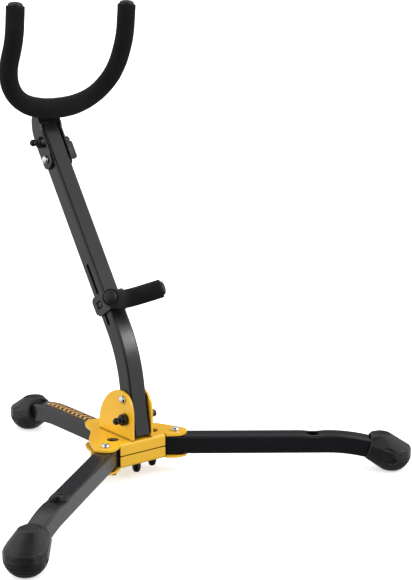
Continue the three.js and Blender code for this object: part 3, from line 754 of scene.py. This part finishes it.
def folded_plate(holes):
    """The top plate; its outer face is at TOP_PLATE_Z."""
    obj = slab(plate_outline(), holes, TOP_PLATE_Z - PLATE, TOP_PLATE_Z)
    bm = bmesh.new()
    bm.from_mesh(obj.data)
    folds = 8
    for k in range(folds + 1):
        geometry = bm.verts[:] + bm.edges[:] + bm.faces[:]
        line = FOLD_Y - FOLD_LENGTH * k / folds
        bmesh.ops.bisect_plane(
            bm, geom=geometry, dist=1e-4, plane_co=(0, line, 0), plane_no=(0, 1, 0)
        )
    for v in bm.verts:
        x, y, z = v.co
        past = FOLD_Y - y
        if abs(x) > SKIRT_HALF + RELIEF / 2 or past <= 1e-4:
            continue
        depth = TOP_PLATE_Z - z
        a = min(past / FOLD_R, math.pi / 2)
        straight = max(0.0, past - FOLD_LENGTH)
        v.co.y = FOLD_Y - (FOLD_R - depth) * math.sin(a)
        v.co.z = TOP_PLATE_Z - FOLD_R + (FOLD_R - depth) * math.cos(a) - straight
    bm.to_mesh(obj.data)
    bm.free()
    return obj


rivet_holes = [
    circle(x, y, RIVET_HOLE_R)
    for x, y in [(PIVOT_X, PIVOT_Y), (-PIVOT_X, PIVOT_Y), (0, BACK_RIVET_Y), (0, CLEVIS_RIVET_Y)]
]
top = folded_plate(
    rivet_holes + [circle(s * LOCK_X, LOCK_Y, LOCK_WINDOW_R, 48) for s in (-1, 1)]
)
# A relief under the left lock hole keeps its rim thin where it is looked into.
cut(top, moved(rod(LOCK_WINDOW_R + 2, TOP_PLATE_Z - PLATE - 1, TOP_PLATE_Z - 0.8), -LOCK_X, LOCK_Y))
dress(soften(top, 0.7, 3), "TopPlate", HUB, "hub_top_plate", "yellow_paint")

knob_places = [(-LOCK_X, LOCK_Y), (LOCK_X, LOCK_Y), (0, BUMPER_Y)]
bottom = folded_plate(rivet_holes + [circle(x, y, KNOB_HOLE_R) for x, y in knob_places])
bottom.data.transform(shift(0, 0, TOP_PLATE_Z + BOTTOM_PLATE_Z) @ Matrix.Diagonal((1, 1, -1, 1)))
bottom.data.flip_normals()
dress(soften(bottom, 0.7, 3), "BottomPlate", HUB, "hub_bottom_plate", "yellow_paint")

# ---- Clevis ----


def bezier(a, b, c, d, steps):
    """Points of a cubic curve, leaving out its last."""
    out = []
    for k in range(steps):
        t = k / steps
        weights = ((1 - t) ** 3, 3 * t * (1 - t) ** 2, 3 * t * t * (1 - t), t ** 3)
        out.append(tuple(sum(w * p[i] for w, p in zip(weights, (a, b, c, d))) for i in (0, 1)))
    return out


ear_top = (-16.5, EAR_TOP_Z)
ear_front = (EAR_FRONT_Y, 66)
ear_back = ((EAR_BACK_Y, 52), (EAR_BACK_Y, 70), (4, EAR_TOP_Z), ear_top)
ear_outline = rounded([
    (EAR_FRONT_Y, CLEVIS_Z, 1.5),
    (EAR_BACK_Y, CLEVIS_Z, 2.5),
    *[(u, v, 0) for u, v in bezier(*ear_back, 26)],
    *[(u, v, 0) for u, v in bezier(ear_top, (-29, EAR_TOP_Z), (-37.5, 84), ear_front, 20)],
    (*ear_front, 0),
])
ear_holes = [
    circle(UPRIGHT_PIVOT.y, UPRIGHT_PIVOT.z, RIVET_HOLE_R),
    circle(*BASE_PIN, PIN_HOLE_R),
]
web_outline = [(-EAR_OUTER, -4), (EAR_OUTER, -4), (EAR_OUTER, 22.5), (-EAR_OUTER, 22.5)]
clevis = join(
    slab(ear_outline, ear_holes, -EAR_OUTER, -EAR_INNER, "x"),
    slab(ear_outline, ear_holes, EAR_INNER, EAR_OUTER, "x"),
    slab(web_outline, [circle(0, CLEVIS_RIVET_Y, RIVET_HOLE_R)], CLEVIS_Z, CLEVIS_Z + CLEVIS_WEB),
)
DIMPLE_R = 12
DIMPLE_DEPTH = 0.16
dimples = []
for side in (-1, 1):
    arc = [math.pi * k / 24 for k in range(1, 24)]
    half = [(DIMPLE_R * math.sin(a), -DIMPLE_R * math.cos(a)) for a in arc]
    ball = turned([(0, -DIMPLE_R), *half, (0, DIMPLE_R)])
    dimples.append(moved(ball, side * (EAR_OUTER + DIMPLE_R - DIMPLE_DEPTH), 2.8, 69.5))
cut(clevis, *dimples)
dress(soften(clevis, 0.65, 3), "Clevis", HUB, "upright_clevis", "yellow_paint")

# ---- Rivets ----


def rivet(shank, head, low, high, rise, axis):
    top_side = dome(head, high + 0.35, rise - 0.35, 8)
    low_side = [(r, low + high - h) for r, h in reversed(top_side)]
    profile = [*low_side, (head, low), (shank, low), (shank, high), (head, high), *top_side]
    return turned(profile, axis, 40)


def dress_rivet(obj, name, place, node):
    dress(obj, name, place, node, "chrome_rivet", even=False)


UNDER = BOTTOM_PLATE_Z - GAP
for name, node, x, y in [
    ("LeftLegRivet", "left_leg_rivet", -PIVOT_X, PIVOT_Y),
    ("RightLegRivet", "right_leg_rivet", PIVOT_X, PIVOT_Y),
    ("BackLegRivet", "back_leg_rivet", 0, BACK_RIVET_Y),
]:
    made = rivet(RIVET_SHANK_R, 4.6, UNDER, TOP_PLATE_Z + GAP, 3.7, "z")
    dress_rivet(moved(made, x, y), name, HUB, node)
made = rivet(RIVET_SHANK_R, 5, UNDER, CLEVIS_Z + CLEVIS_WEB + GAP, 2, "z")
dress_rivet(moved(made, 0, CLEVIS_RIVET_Y), "ClevisRivet", HUB, "clevis_rivet")
made = rivet(RIVET_SHANK_R, 4.5, -EAR_OUTER - GAP, EAR_OUTER + GAP, 3.8, "x")
dress_rivet(moved(made, *UPRIGHT_PIVOT), "UprightRivet", HUB, "upright_rivet")
made = rivet(3, 4.7, -CHEEK_OUTER - GAP, CHEEK_OUTER + GAP, 3.4, "x")
dress_rivet(moved(made, z=YOKE_PIVOT), "YokeRivet", UPPER, "yoke_rivet")

# ---- Knobs under the hub, and pull pins ----

STEM_R = 2.6
stem_top = BOTTOM_PLATE_Z + PLATE - 0.1
knob_profile = [
    *[(r, 7.8 - h) for r, h in reversed(dome(3.7, 0, 2.6, 8))],
    (3.95, 8.6), (4.5, 9.7), (4.5, UNDER - 0.9), (4.3, UNDER - 0.35), (3.8, UNDER),
    (STEM_R, UNDER), (STEM_R, stem_top), (0, stem_top),
]
for name, node, x, y in [
    ("HubBumper", "hub_bumper", 0, BUMPER_Y),
    ("LeftLegPin", "left_leg_pin", -LOCK_X, LOCK_Y),
    ("RightLegPin", "right_leg_pin", LOCK_X, LOCK_Y),
]:
    dress(moved(turned(knob_profile), x, y), name, HUB, node, "black_plastic", even=False)

HOUSING_R = 6.1
HOUSING_BORE = 2.5
HOUSING_STRAIGHT = 3.6
HOUSING_DOME = 4.4
housing_profile = [
    (HOUSING_BORE, 0), (5.2, 0), (5.6, 0.3), (HOUSING_R, 1.3), (HOUSING_R, HOUSING_STRAIGHT),
    *[p for p in dome(HOUSING_R, HOUSING_STRAIGHT, HOUSING_DOME, 14) if p[0] > 2.8][1:],
    (
        HOUSING_BORE,
        HOUSING_STRAIGHT + HOUSING_DOME * math.sqrt(1 - (HOUSING_BORE / HOUSING_R) ** 2),
    ),
]
PIN_REACH = {"base": 12.5, "yoke": 6.5}
PULL_BALL_R = 3.7
PULL_BALL_AT = 10.9
PULL_STEM_R = 2.2
PIN_END_R = 3.9


def pull_pin(reach):
    """A stem with a ball to pull it by, pointing along x."""
    ball = []
    for k in range(17):
        a = math.radians(-54 + 144 * k / 16)
        ball.append((PULL_BALL_R * math.cos(a), PULL_BALL_AT + PULL_BALL_R * math.sin(a)))
    ball[-1] = (0, ball[-1][1])
    return turned([(0, -reach), (PULL_STEM_R, -reach), (PULL_STEM_R, 7.8), *ball], "x", 40)


def pin_end(reach):
    """The domed far end of a pin, pointing along x."""
    return turned([
        (0, -1.8), (2.3, -1.8), (2.3, GAP), (3.5, GAP), (PIN_END_R, GAP + 0.4),
        (PIN_END_R, reach - 3), *dome(PIN_END_R, reach - 3, 3, 8)[1:],
    ], "x", 40)


FLIP_X = turn(math.pi, "Z")
for place, outer, inner, (y, z), key, look in [
    (HUB, EAR_OUTER, EAR_INNER, BASE_PIN, "base", "black_plastic"),
    (UPPER, CHEEK_OUTER, CHEEK_INNER, YOKE_PIN, "yoke", "dark_steel"),
]:
    title = key.title()
    near = place @ shift(-outer - GAP, y, z) @ FLIP_X
    housing = turned(housing_profile, "x", 40, ring=True)
    dress(housing, title + "PinHousing", near, key + "_pin_housing", "black_plastic", even=False)
    plunger = pull_pin(outer - inner + GAP - 0.1)
    dress(plunger, title + "PullPin", near, key + "_pull_pin", "black_plastic", even=False)
    far = place @ shift(outer, y, z)
    dress(pin_end(PIN_REACH[key]), title + "PinEnd", far, key + "_pin_end", look, even=False)

# ---- Legs ----

OUT = Vector((1, 0, 0))
ACROSS = Vector((0, 1, 0))
DOWN = Vector((0, 0, -1))
DENT = 1.2
DENT_REACH = 8
DENT_SWELL = 0.35
PLUG_HOLE_R = 6.1


def dented(p):
    """The crush round a punched hole: the top sinks and the sides swell a little."""
    near = math.exp(-(((p.x - PLUG_X - 1) / DENT_REACH) ** 2))
    high = smoothstep(p.z, LEG_Z, LEG_TOP_Z)
    swell = math.copysign(DENT_SWELL * near * high, p.y) if abs(p.y) > 6 else 0
    return Vector((p.x, p.y + swell, p.z - DENT * near * high))


def leg_tube(inner_x, bend_x, through, top_holes, bottom_holes, shape=None):
    """A leg along x; each hole is (x, radius), and shape bends the tube's points."""
    straight = bend_x - inner_x
    stops = [straight - 4 * k for k in range(1, 12)] if shape else [straight - 8]
    start = Vector((inner_x, 0, LEG_Z))
    path = bent_path(start, OUT, DOWN, straight, LEG_BEND_RADIUS, LEG_BEND, LEG_TAIL, stops)
    below, above = LEG_Z - 12, LEG_Z + 12
    tools = [moved(rod(r, below, above), x) for x, r in through]
    tools += [moved(rod(r, LEG_Z, above), x) for x, r in top_holes]
    tools += [moved(rod(r, below, LEG_Z), x) for x, r in bottom_holes]
    return soften(cut(square_tube(path, ACROSS, shape), *tools), 0.35, 2, 40)


for side, place in (("left", LEFT_LEG), ("right", RIGHT_LEG)):
    tube = leg_tube(
        -LEG_INNER_END,
        FRONT_BEND_X,
        through=[(0, RIVET_HOLE_R)],
        top_holes=[(PLUG_X, PLUG_HOLE_R)],
        bottom_holes=[(-LOCK_FROM_PIVOT, 3.4)],
        shape=dented,
    )
    dress(tube, side.title() + "Leg", place, side + "_leg", "black_paint")
back_holes = [(CLEVIS_RIVET_Y, RIVET_HOLE_R), (BACK_RIVET_Y, RIVET_HOLE_R)]
back = leg_tube(SKIRT_Y + PLATE + 1, BACK_BEND_X, back_holes, [], [])
dress(back, "BackLeg", BACK_LEG, "back_leg", "black_paint", look=PRINTED_LEG)

plug = turned([
    (0, -5), (4.6, -5), (4.9, -4), (4.9, -0.9), (7.7, -0.9), (8, -0.6), (8, 0.5), (7.7, 0.8),
    (6.9, 0.9), (6.9, 1.9), (6.6, 2.3), (6.0, 2.35), (5.8, 2.5), (5.8, 2.9),
    *dome(5.6, 3.1, 1.3, 8),
])
plug = moved(plug, PLUG_X, 0, LEG_TOP_Z)
dress(plug, "LeftLegPlug", LEFT_LEG, "left_leg_plug", "black_plastic", even=False)

# ---- Feet: a hull of flat cuts over a ball, with a round mouth and tread grooves on the toe ----


CROWN_Z = 39.2
GROOVE_WIDE = 0.95
GROOVE_TALL = 0.8


def scoop(x, y, z, reach, deep, tall, yaw, pitch):
    """A flattened ball that leaves a shallow hollow."""
    around = [math.pi * k / 20 for k in range(21)]
    made = turned([(math.sin(a), -math.cos(a)) for a in around], "z", 40)
    turned_to = turn(math.radians(yaw), "Z") @ turn(math.radians(pitch), "Y")
    made.data.transform(shift(x, y, z) @ turned_to @ Matrix.Diagonal((reach, deep, tall, 1)))
    return made


def foot(bend_x):
    """A rubber foot in its leg's frame; bend_x is where the leg starts to bend down."""
    centre_x = bend_x + BEND_TO_FOOT
    along = Vector((math.cos(LEG_BEND), 0, -math.sin(LEG_BEND)))
    drop = LEG_BEND_RADIUS * (1 - math.cos(LEG_BEND))
    mouth = Vector((bend_x + LEG_BEND_RADIUS * math.sin(LEG_BEND) + 1.5, 0, LEG_Z - drop + 1.2))
    upward = along.cross(ACROSS)
    if upward.z < 0:
        upward.negate()
    points = []

    def ring(distance, wide, tall, count, phase):
        for i in range(count):
            a = (i + phase) / count * math.tau
            out = ACROSS * wide * math.cos(a) + upward * tall * math.sin(a)
            points.append(mouth + along * distance + out)

    ring(0, 15.5, 13.8, 48, 0.5)
    ring(9, 17, 15.2, 8, 0.5)
    ball_z = FOOT_R * math.sin(PAD_LATITUDE)

    def ball(latitude, count, phase, scale=1.0):
        r = FOOT_R * scale * math.cos(math.radians(latitude))
        z = ball_z + FOOT_R * scale * math.sin(math.radians(latitude))
        for i in range(count):
            a = (i + phase) / count * math.tau
            points.append(Vector((centre_x + r * math.cos(a), r * math.sin(a), z)))

    ball(-77, 48, 0)
    for k in range(8):
        ball(-63 + 7 * k, 48, 0, TREAD_SCALE)
    ball(14.5, 14, 0.5, 1.05)
    for i in range(17):
        a = math.pi * (i / 16 - 0.5)
        crown = (centre_x - 12 + 10 * math.cos(a), 10.5 * math.sin(a), CROWN_Z)
        points.append(Vector(crown))

    bm = bmesh.new()
    for p in points:
        bm.verts.new(p)
    bmesh.ops.convex_hull(bm, input=bm.verts)
    bmesh.ops.delete(bm, geom=[v for v in bm.verts if not v.link_faces], context="VERTS")
    bmesh.ops.dissolve_limit(bm, angle_limit=math.radians(1.5), verts=bm.verts, edges=bm.edges)
    skin = bevel(new_object("foot", bm), 1.3, 3, 10.5)

    start = Vector((bend_x - 20, 0, LEG_Z))
    path = bent_path(start, OUT, DOWN, 20, LEG_BEND_RADIUS, LEG_BEND, LEG_TAIL + GAP)
    pocket = loft(square_rings(path, ACROSS, square(TUBE / 2 + GAP, TUBE_CORNER)))
    recess = rod(12.4, -8, 3.5, "z", 64)
    recess.data.transform(shift(*mouth) @ turn(math.pi / 2 + LEG_BEND, "Y"))
    tools = [pocket, recess]
    for z in (4.5, 8.2, 12.1, 16.2, 20.4):
        r = math.sqrt((FOOT_R * TREAD_SCALE) ** 2 - (ball_z - z) ** 2) + 0.3
        turns = [math.tau * i / 12 for i in range(12)]
        tread = [(r + GROOVE_WIDE * math.cos(a), z + GROOVE_TALL * math.sin(a)) for a in turns]
        tools.append(moved(turned(tread, "z", 96, ring=True), centre_x - GROOVE_WIDE))
    for side in (-1, 1):
        tools.append(scoop(centre_x - 7, side * 23.4, 27.5, 17, 6, 3.6, side * 4, 13))
        tools.append(scoop(centre_x - 1, side * 23.6, 12.5, 9, 6.4, 4.4, 0, -24))
    cut(skin, *tools)
    rib = box(centre_x - 17.5, centre_x - 8, -0.3, 0.3, 36, CROWN_Z + 0.55)
    return join(bevel(skin, 0.35, 2, 34), rib)


for side, place, bend_x in (
    ("left", LEFT_LEG, FRONT_BEND_X),
    ("right", RIGHT_LEG, FRONT_BEND_X),
    ("back", BACK_LEG, BACK_BEND_X),
):
    dress(foot(bend_x), side.title() + "Foot", place, side + "_foot", "foot_rubber", sharp=28)

# ---- Upright ----

THROUGH = (-14, 14)
upright = square_tube(
    bent_path(
        start=UPRIGHT_PIVOT - lower_dir * UPRIGHT_BELOW,
        along=lower_dir,
        across=lower_back,
        first=UPRIGHT_BELOW + UPRIGHT_ABOVE,
        radius=UPRIGHT_ARC_R,
        angle=UPRIGHT_TURN,
        second=UPRIGHT_TOP,
    ),
    OUT,
)
slot_outline = []
for k in range(33):
    a = math.pi * k / 32
    slot_outline.append((SLOT_HALF * math.cos(a), SLOT_HIGH + SLOT_HALF * math.sin(a)))
slot_outline += [(-u, SLOT_LOW + SLOT_HIGH - v) for u, v in slot_outline]
upper_tools = [
    slab(slot_outline, [], *THROUGH, "x"),
    moved(rod(YOKE_HOLE_R, *THROUGH, "x"), z=YOKE_PIVOT),
    moved(rod(PIN_HOLE_R, THROUGH[0], 0, "x"), 0, *YOKE_PIN),
]
for tool in upper_tools:
    tool.data.transform(IN_HUB_UPPER)
cut(
    upright,
    moved(rod(RIVET_HOLE_R, *THROUGH, "x"), *UPRIGHT_PIVOT),
    moved(rod(PIN_HOLE_R, THROUGH[0], 0, "x"), 0, *BASE_PIN),
    *upper_tools,
)
dress(soften(upright, 0.35, 2, 40), "Upright", HUB, "upright_tube", "black_paint")

SPACER = (TUBE / 2 + GAP, CHEEK_INNER - GAP)
SPACER_R = 10.8
for side, low, high in (("left", -SPACER[1], -SPACER[0]), ("right", *SPACER)):
    section = [(YOKE_HOLE_R, low), (SPACER_R, low), (SPACER_R, high), (YOKE_HOLE_R, high)]
    disc = soften(moved(turned(section, "x", 56, ring=True), z=YOKE_PIVOT), 0.35)
    dress(disc, side.title() + "Spacer", UPPER, side + "_spacer", "black_plastic")

# ---- Yoke bracket ----

CHEEK_FRONT = -12.1
CHEEK_LOW = 183.8
LIP_LOW = 188
LIP_HIGH = 208.5
cheek_outline = rounded([
    (-7, CHEEK_LOW, 7), (7.6, CHEEK_LOW, 7), (7.8, 200, 3), (7.8, 216, 5), (6.4, 230, 6),
    (0, 241.5, 5), (-6, 244, 3), (CHEEK_FRONT, 244, 1.2), (CHEEK_FRONT, 229, 2), (-10, 224, 3),
    (-9.6, 200, 4),
])
cheek_holes = [circle(0, YOKE_PIVOT, YOKE_HOLE_R), circle(*YOKE_PIN, PIN_HOLE_R)]
lip_edge = CHEEK_OUTER + 6
lip_outline = rounded([
    (CHEEK_INNER, LIP_LOW, 0), (lip_edge, LIP_LOW, 5.5),
    (lip_edge, LIP_HIGH, 2.5), (CHEEK_INNER, LIP_HIGH, 0),
])
lip = slab(lip_outline, [], 7.6, 9.4)
lip.data.transform(turn(math.pi / 2, "X"))
bracket = join(
    slab(cheek_outline, cheek_holes, -CHEEK_OUTER, -CHEEK_INNER, "x"),
    slab(cheek_outline, cheek_holes, CHEEK_INNER, CHEEK_OUTER, "x"),
    box(-CHEEK_OUTER, CHEEK_OUTER, CHEEK_FRONT, CHEEK_FRONT + 1.8, 231, 243.5),
    box(-CHEEK_OUTER, CHEEK_OUTER, -1.5, 0.3, 232.6, 240),
    lip,
)
bolt_hole = rod(2.8, -8, 8)
bolt_hole.data.transform(shift(0, -11, YOKE_CENTRE[1]) @ turn(math.pi / 2, "X"))
dress(soften(cut(bracket, bolt_hole), 0.5, 3), "YokeBracket", UPPER, "yoke_bracket", "dark_steel")

BOLT_R = 2.5
bolt = turned([(0, 0), (3.6, 0), (4, 0.5), (4, 2.3), (BOLT_R, 2.3), (BOLT_R, 14.3), (0, 14.3)])
cut(bolt, box(-5, 5, -0.55, 0.55, -1, 0.9))
bolt_place = UPPER @ shift(0, -7.7, YOKE_CENTRE[1]) @ turn(math.pi / 2, "X")
dress(bolt, "YokeBolt", bolt_place, "yoke_bolt", "dark_steel")

# ---- Round bars and foam sleeves ----


def tangents(points):
    out = []
    for i in range(len(points)):
        a = points[max(0, i - 1)]
        b = points[min(len(points) - 1, i + 1)]
        out.append((b - a).normalized())
    return out


def round_ring(point, tangent, guide, radius, steps, uneven=0.0):
    u = (guide - tangent * guide.dot(tangent)).normalized()
    w = tangent.cross(u)
    ring = []
    for i in range(steps):
        a = math.tau * i / steps
        out = u * math.cos(a) + w * math.sin(a)
        p = point + out * radius
        if uneven:
            swell = noise.noise(p * 0.09) + 0.45 * noise.noise(p * 0.31)
            p = p + out * (uneven * swell)
        ring.append(p)
    return ring


def sleeve(points, guide, outer, inner, steps, lip, uneven, full):
    """A hollow foam sleeve with rounded cut ends; full(point) is added to its outer radius."""
    along = tangents(points)
    inset = [(lip, 0.0)]
    for k in range(1, 5):
        a = math.pi / 2 * k / 4
        inset.append((lip - lip * math.sin(a), lip * (1 - math.cos(a))))

    def cut_end(point, inward):
        return [(point + inward * d, outer - less + full(point)) for d, less in inset]

    head = [(p, along[0], r) for p, r in reversed(cut_end(points[0], along[0]))]
    tail = [(p, along[-1], r) for p, r in cut_end(points[-1], -along[-1])]
    kept = [
        (p, t, outer + full(p))
        for p, t in zip(points, along)
        if min((p - points[0]).length, (p - points[-1]).length) > lip * 1.6
    ]
    rings = [round_ring(p, t, guide, r, steps, uneven) for p, t, r in head + kept + tail]
    hollow = [round_ring(p, t, guide, inner, steps) for p, t in zip(points, along)]
    return loft(rings + hollow[::-1], wrap=True)


def bar(points, guide, radius, steps):
    rings = [round_ring(p, t, guide, radius, steps) for p, t in zip(points, tangents(points))]
    return loft(rings)


def evenly(points, count):
    """count + 1 points at equal distances along a chain of 2-D points."""
    lengths = [0.0]
    for a, b in zip(points, points[1:]):
        lengths.append(lengths[-1] + math.dist(a, b))
    out = []
    k = 0
    for i in range(count + 1):
        want = lengths[-1] * i / count
        while k < len(points) - 2 and lengths[k + 1] < want:
            k += 1
        t = (want - lengths[k]) / (lengths[k + 1] - lengths[k])
        out.append(tuple(a + (b - a) * t for a, b in zip(points[k], points[k + 1])))
    return out


def yoke_arm(count):
    """The right arm from the middle of the bowl to its tip."""
    flat = []
    for i in range(241):
        a = math.pi / 2 * i / 240
        cosine = max(0.0, math.cos(a))
        across = YOKE_HALF * math.sin(a) ** YOKE_CURVE
        flat.append((across, YOKE_BOWL * (1 - cosine ** YOKE_CURVE)))
    flat.append((YOKE_HALF, YOKE_BOWL + YOKE_ARM))
    even = evenly(flat, count)
    centre = IN_HUB_UPPER @ Vector((0, *YOKE_CENTRE))
    y, z = centre.y, centre.z
    out = []
    for i, (x, s) in enumerate(even):
        if i:
            rise = s - even[i - 1][1]
            ease = smoothstep((s + even[i - 1][1]) / 2, *YOKE_LEAN_EASE)
            lean = math.radians(YOKE_LEAN[0] + (YOKE_LEAN[1] - YOKE_LEAN[0]) * ease)
            y -= rise * math.sin(lean)
            z += rise * math.cos(lean)
        out.append(Vector((x, y, z)))
    return out


right_arm = yoke_arm(84)
yoke_points = [Vector((-p.x, p.y, p.z)) for p in reversed(right_arm[1:])] + right_arm
TO_FRONT = Vector((0, -1, 0))


def bowl_swell(p):
    """The sleeve bunches up a little where it is bent and pressed on the bracket."""
    return 1.15 * (1 - smoothstep(abs(p.x), 14, 52))


yoke_middle = shift(0, *YOKE_CENTRE)
askew = yoke_middle @ turn(YOKE_ROLL, "Y") @ yoke_middle.inverted()
YOKE = UPPER @ askew @ IN_HUB_UPPER.inverted()
yoke_foam = sleeve(
    yoke_points, TO_FRONT, YOKE_FOAM_R - 0.05, YOKE_ROD_R + GAP, 40, 0.55, 0.16, bowl_swell
)
dress(yoke_foam, "YokeFoam", YOKE, "yoke_foam", "foam", even=False)
yoke_rod = bar(yoke_points, TO_FRONT, YOKE_ROD_R, 20)
dress(yoke_rod, "YokeRod", YOKE, "yoke_rod", "zinc_rod", even=False)

rest_points = []
for k in range(41):
    t = -1 + k / 20
    bend = (math.hypot(t, REST_BEND) - REST_BEND) / (math.hypot(1, REST_BEND) - REST_BEND)
    place = Vector((REST_HALF * t, -REST_FRONT - REST_REACH * bend, REST_LEVEL - REST_DROP * bend))
    rest_points.append(IN_HUB_UPPER @ place)
UPWARD = Vector((0, 0, 1))


def left_squeeze(p):
    """The left end is drawn in a little by its cap."""
    return -1.0 * (1 - smoothstep((p - rest_points[0]).length, 1, 9))


rest_foam = sleeve(
    rest_points, UPWARD, REST_FOAM_R - 0.05, REST_ROD_R + GAP, 40, 0.6, 0.18, left_squeeze
)
dress(rest_foam, "RestFoam", HUB, "rest_foam", "foam", even=False)
dress(bar(rest_points, UPWARD, REST_ROD_R, 20), "RestRod", HUB, "rest_rod", "zinc_rod", even=False)


def end_plug(radius, rise, point, tangent):
    """A domed plug over the end of a sleeve, pointing along tangent."""
    side_wall = [(0, 0), (radius - 0.3, 0), (radius, 0.3), (radius, 0.7)]
    plug = turned([*side_wall, *dome(radius - 0.15, 0.9, rise - 0.9, 9)])
    upright_axis = Vector((0, 0, 1)).rotation_difference(tangent).to_matrix().to_4x4()
    plug.data.transform(shift(*(point + tangent * GAP)) @ upright_axis)
    return plug


yoke_ends = tangents(yoke_points)
rest_ends = tangents(rest_points)
for name, node, place, point, tangent, radius, rise in [
    ("LeftYokeCap", "left_yoke_cap", YOKE, yoke_points[0], -yoke_ends[0], 7.7, 4.1),
    ("RightYokeCap", "right_yoke_cap", YOKE, yoke_points[-1], yoke_ends[-1], 7.7, 4.1),
    ("LeftRestCap", "left_rest_cap", HUB, rest_points[0], -rest_ends[0], 6.7, 3.5),
    ("RightRestCap", "right_rest_cap", HUB, rest_points[-1], rest_ends[-1], 7.1, 3.5),
]:
    cap = end_plug(radius, rise, point, tangent)
    dress(cap, name, place, node, "black_plastic", even=False, look=SATIN_PLASTIC)

# ---- Sliding rest clamp ----

clamp_outline = rounded([
    (11.5, 21, 1.5), (6, 16, 1.5), (-15.5, 16, 1.5), (-15.5, 32, 3), (-11, 37.5, 2),
    (8, 37.5, 2), (11.5, 34.5, 1.5),
])
window_low = REST_ALONG - CLAMP_WINDOW
window_high = REST_ALONG + CLAMP_WINDOW
window = rounded([
    (-CLAMP_WINDOW, window_low, 0.9), (5, window_low, 0.9),
    (5, window_high, 0.9), (-CLAMP_WINDOW, window_high, 0.9),
])
boss = rod(4, 0, 12)
boss.data.transform(shift(0, -12.2, REST_LEVEL) @ turn(math.pi / 2, "X"))
clamp = join(
    slab(clamp_outline, [window], -CLAMP_OUTER, -CLAMP_INNER, "x"),
    slab(clamp_outline, [circle(0, REST_ALONG, 2.1)], CLAMP_INNER, CLAMP_OUTER, "x"),
    box(-CLAMP_OUTER, CLAMP_OUTER, -12.8, -10.6, 16.5, 36),
    boss,
)
dress(soften(clamp, 0.5, 3), "RestClamp", UPPER, "rest_clamp", "dark_steel")
pin = turned([
    (0, -12.4), (2.6, -12.4), (3.1, -11.8), (3.1, -10.3), (1.7, -10.3), (1.7, 12.9),
    (3.1, 12.9), (3.4, 13.2), *dome(3.4, 13.6, 2.2, 8),
], "x", 40)
dress(moved(pin, z=REST_ALONG), "RestPin", UPPER, "rest_pin", "dark_steel", even=False)

# ---- Stage: pale floor, soft lights, camera ----


def panel(name, width, depth):
    bm = bmesh.new()
    for x, y in ((-1, -1), (1, -1), (1, 1), (-1, 1)):
        bm.verts.new((x * width / 2, y * depth / 2, 0))
    bm.faces.new(bm.verts)
    return new_object(name, bm)


floor = panel("Floor", 60, 60)
floor_paint = material(
    "PaleFloor",
    Base_Color=(0.985, 0.985, 0.985, 1),
    Roughness=0.95,
    Specular_IOR_Level=0.0,
    Emission_Color=(1, 1, 1, 1),
    Emission_Strength=0.5,
)[0]
floor.data.materials.append(floor_paint)
floor.visible_glossy = False
floor.visible_diffuse = False
floor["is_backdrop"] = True

# The room is bright above and dims underneath, so that the undersides stay dark.
world = bpy.data.worlds.new("SoftRoom")
bpy.context.scene.world = world
world.use_nodes = True
sky = world.node_tree
compass = add(sky, "ShaderNodeTexCoord").outputs["Generated"]
height = add(sky, "ShaderNodeSeparateXYZ", Vector=compass).outputs["Z"]
dimming = span(sky, height, -0.75, -0.08, 0.2, 1.04)
sky.nodes["Background"].inputs["Color"].default_value = (0.99, 0.99, 1.0, 1)
sky.links.new(dimming, sky.nodes["Background"].inputs["Strength"])


def lamp(name, spot, aim, width, height, power, tint=(1, 1, 1)):
    data = bpy.data.lights.new(name, "AREA")
    data.shape = "RECTANGLE"
    data.size = width
    data.size_y = height
    data.energy = power
    data.color = tint
    obj = bpy.data.objects.new(name, data)
    obj.location = spot
    obj.rotation_mode = "QUATERNION"
    obj.rotation_quaternion = (Vector(aim) - Vector(spot)).to_track_quat("-Z", "Y")
    bpy.context.scene.collection.objects.link(obj)
    return obj


def card(name, spot, aim, width, height, glow):
    """A studio card that only shows in reflections; a black one when glow is 0."""
    obj = panel(name, width, height)
    place = (Vector(aim) - Vector(spot)).to_track_quat("Z", "Y").to_matrix().to_4x4()
    obj.matrix_world = shift(*spot) @ place
    cloth = material(
        name,
        Base_Color=(0.0, 0.0, 0.0, 1),
        Specular_IOR_Level=0.0,
        Emission_Color=(0.9, 0.9, 1.0, 1),
        Emission_Strength=glow,
    )[0]
    obj.data.materials.append(cloth)
    obj.visible_camera = False
    obj.visible_diffuse = False
    obj.visible_shadow = False
    obj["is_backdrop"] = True
    return obj


HEART = (0, 0, 0.14)
lamp("TopBank", (-0.2, 0.1, 2.2), HEART, 1.6, 1.6, 8).visible_glossy = False
lamp("RightBank", (1.39, -1.46, 1.26), HEART, 0.7, 0.4, 8.5, (1.0, 0.985, 0.97))
lamp("LeftBank", (-1.9, -0.35, 0.75), HEART, 0.6, 0.9, 6).visible_glossy = False
card("DarkFlag", (-0.9, -1.15, -0.25), HEART, 1.9, 2.4, 0.0)
card("BackCard", (1.2, 1.53, 0.68), HEART, 3.2, 1.25, 0.12)
card("UpperFlag", (-0.3, -0.38, 1.6), HEART, 1.2, 1.6, 0.0)

# The camera looks from the player's left, a little down.
FORWARD = Vector((0.60221, 0.76558, -0.22635)).normalized()
CAMERA_FROM_HUB = Vector((-0.88885, -1.270045, 0.55170))
camera_data = bpy.data.cameras.new("Camera")
camera_data.lens = 97.63
camera_data.sensor_width = 36
camera_data.clip_start = 0.05
camera_data.clip_end = 100
camera = bpy.data.objects.new("Camera", camera_data)
camera.location = HUB.translation + CAMERA_FROM_HUB
camera.rotation_mode = "QUATERNION"
camera.rotation_quaternion = FORWARD.to_track_quat("-Z", "Y")
bpy.context.scene.collection.objects.link(camera)
bpy.context.scene.camera = camera
bpy.context.scene.view_settings.view_transform = "Standard"

low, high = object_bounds()
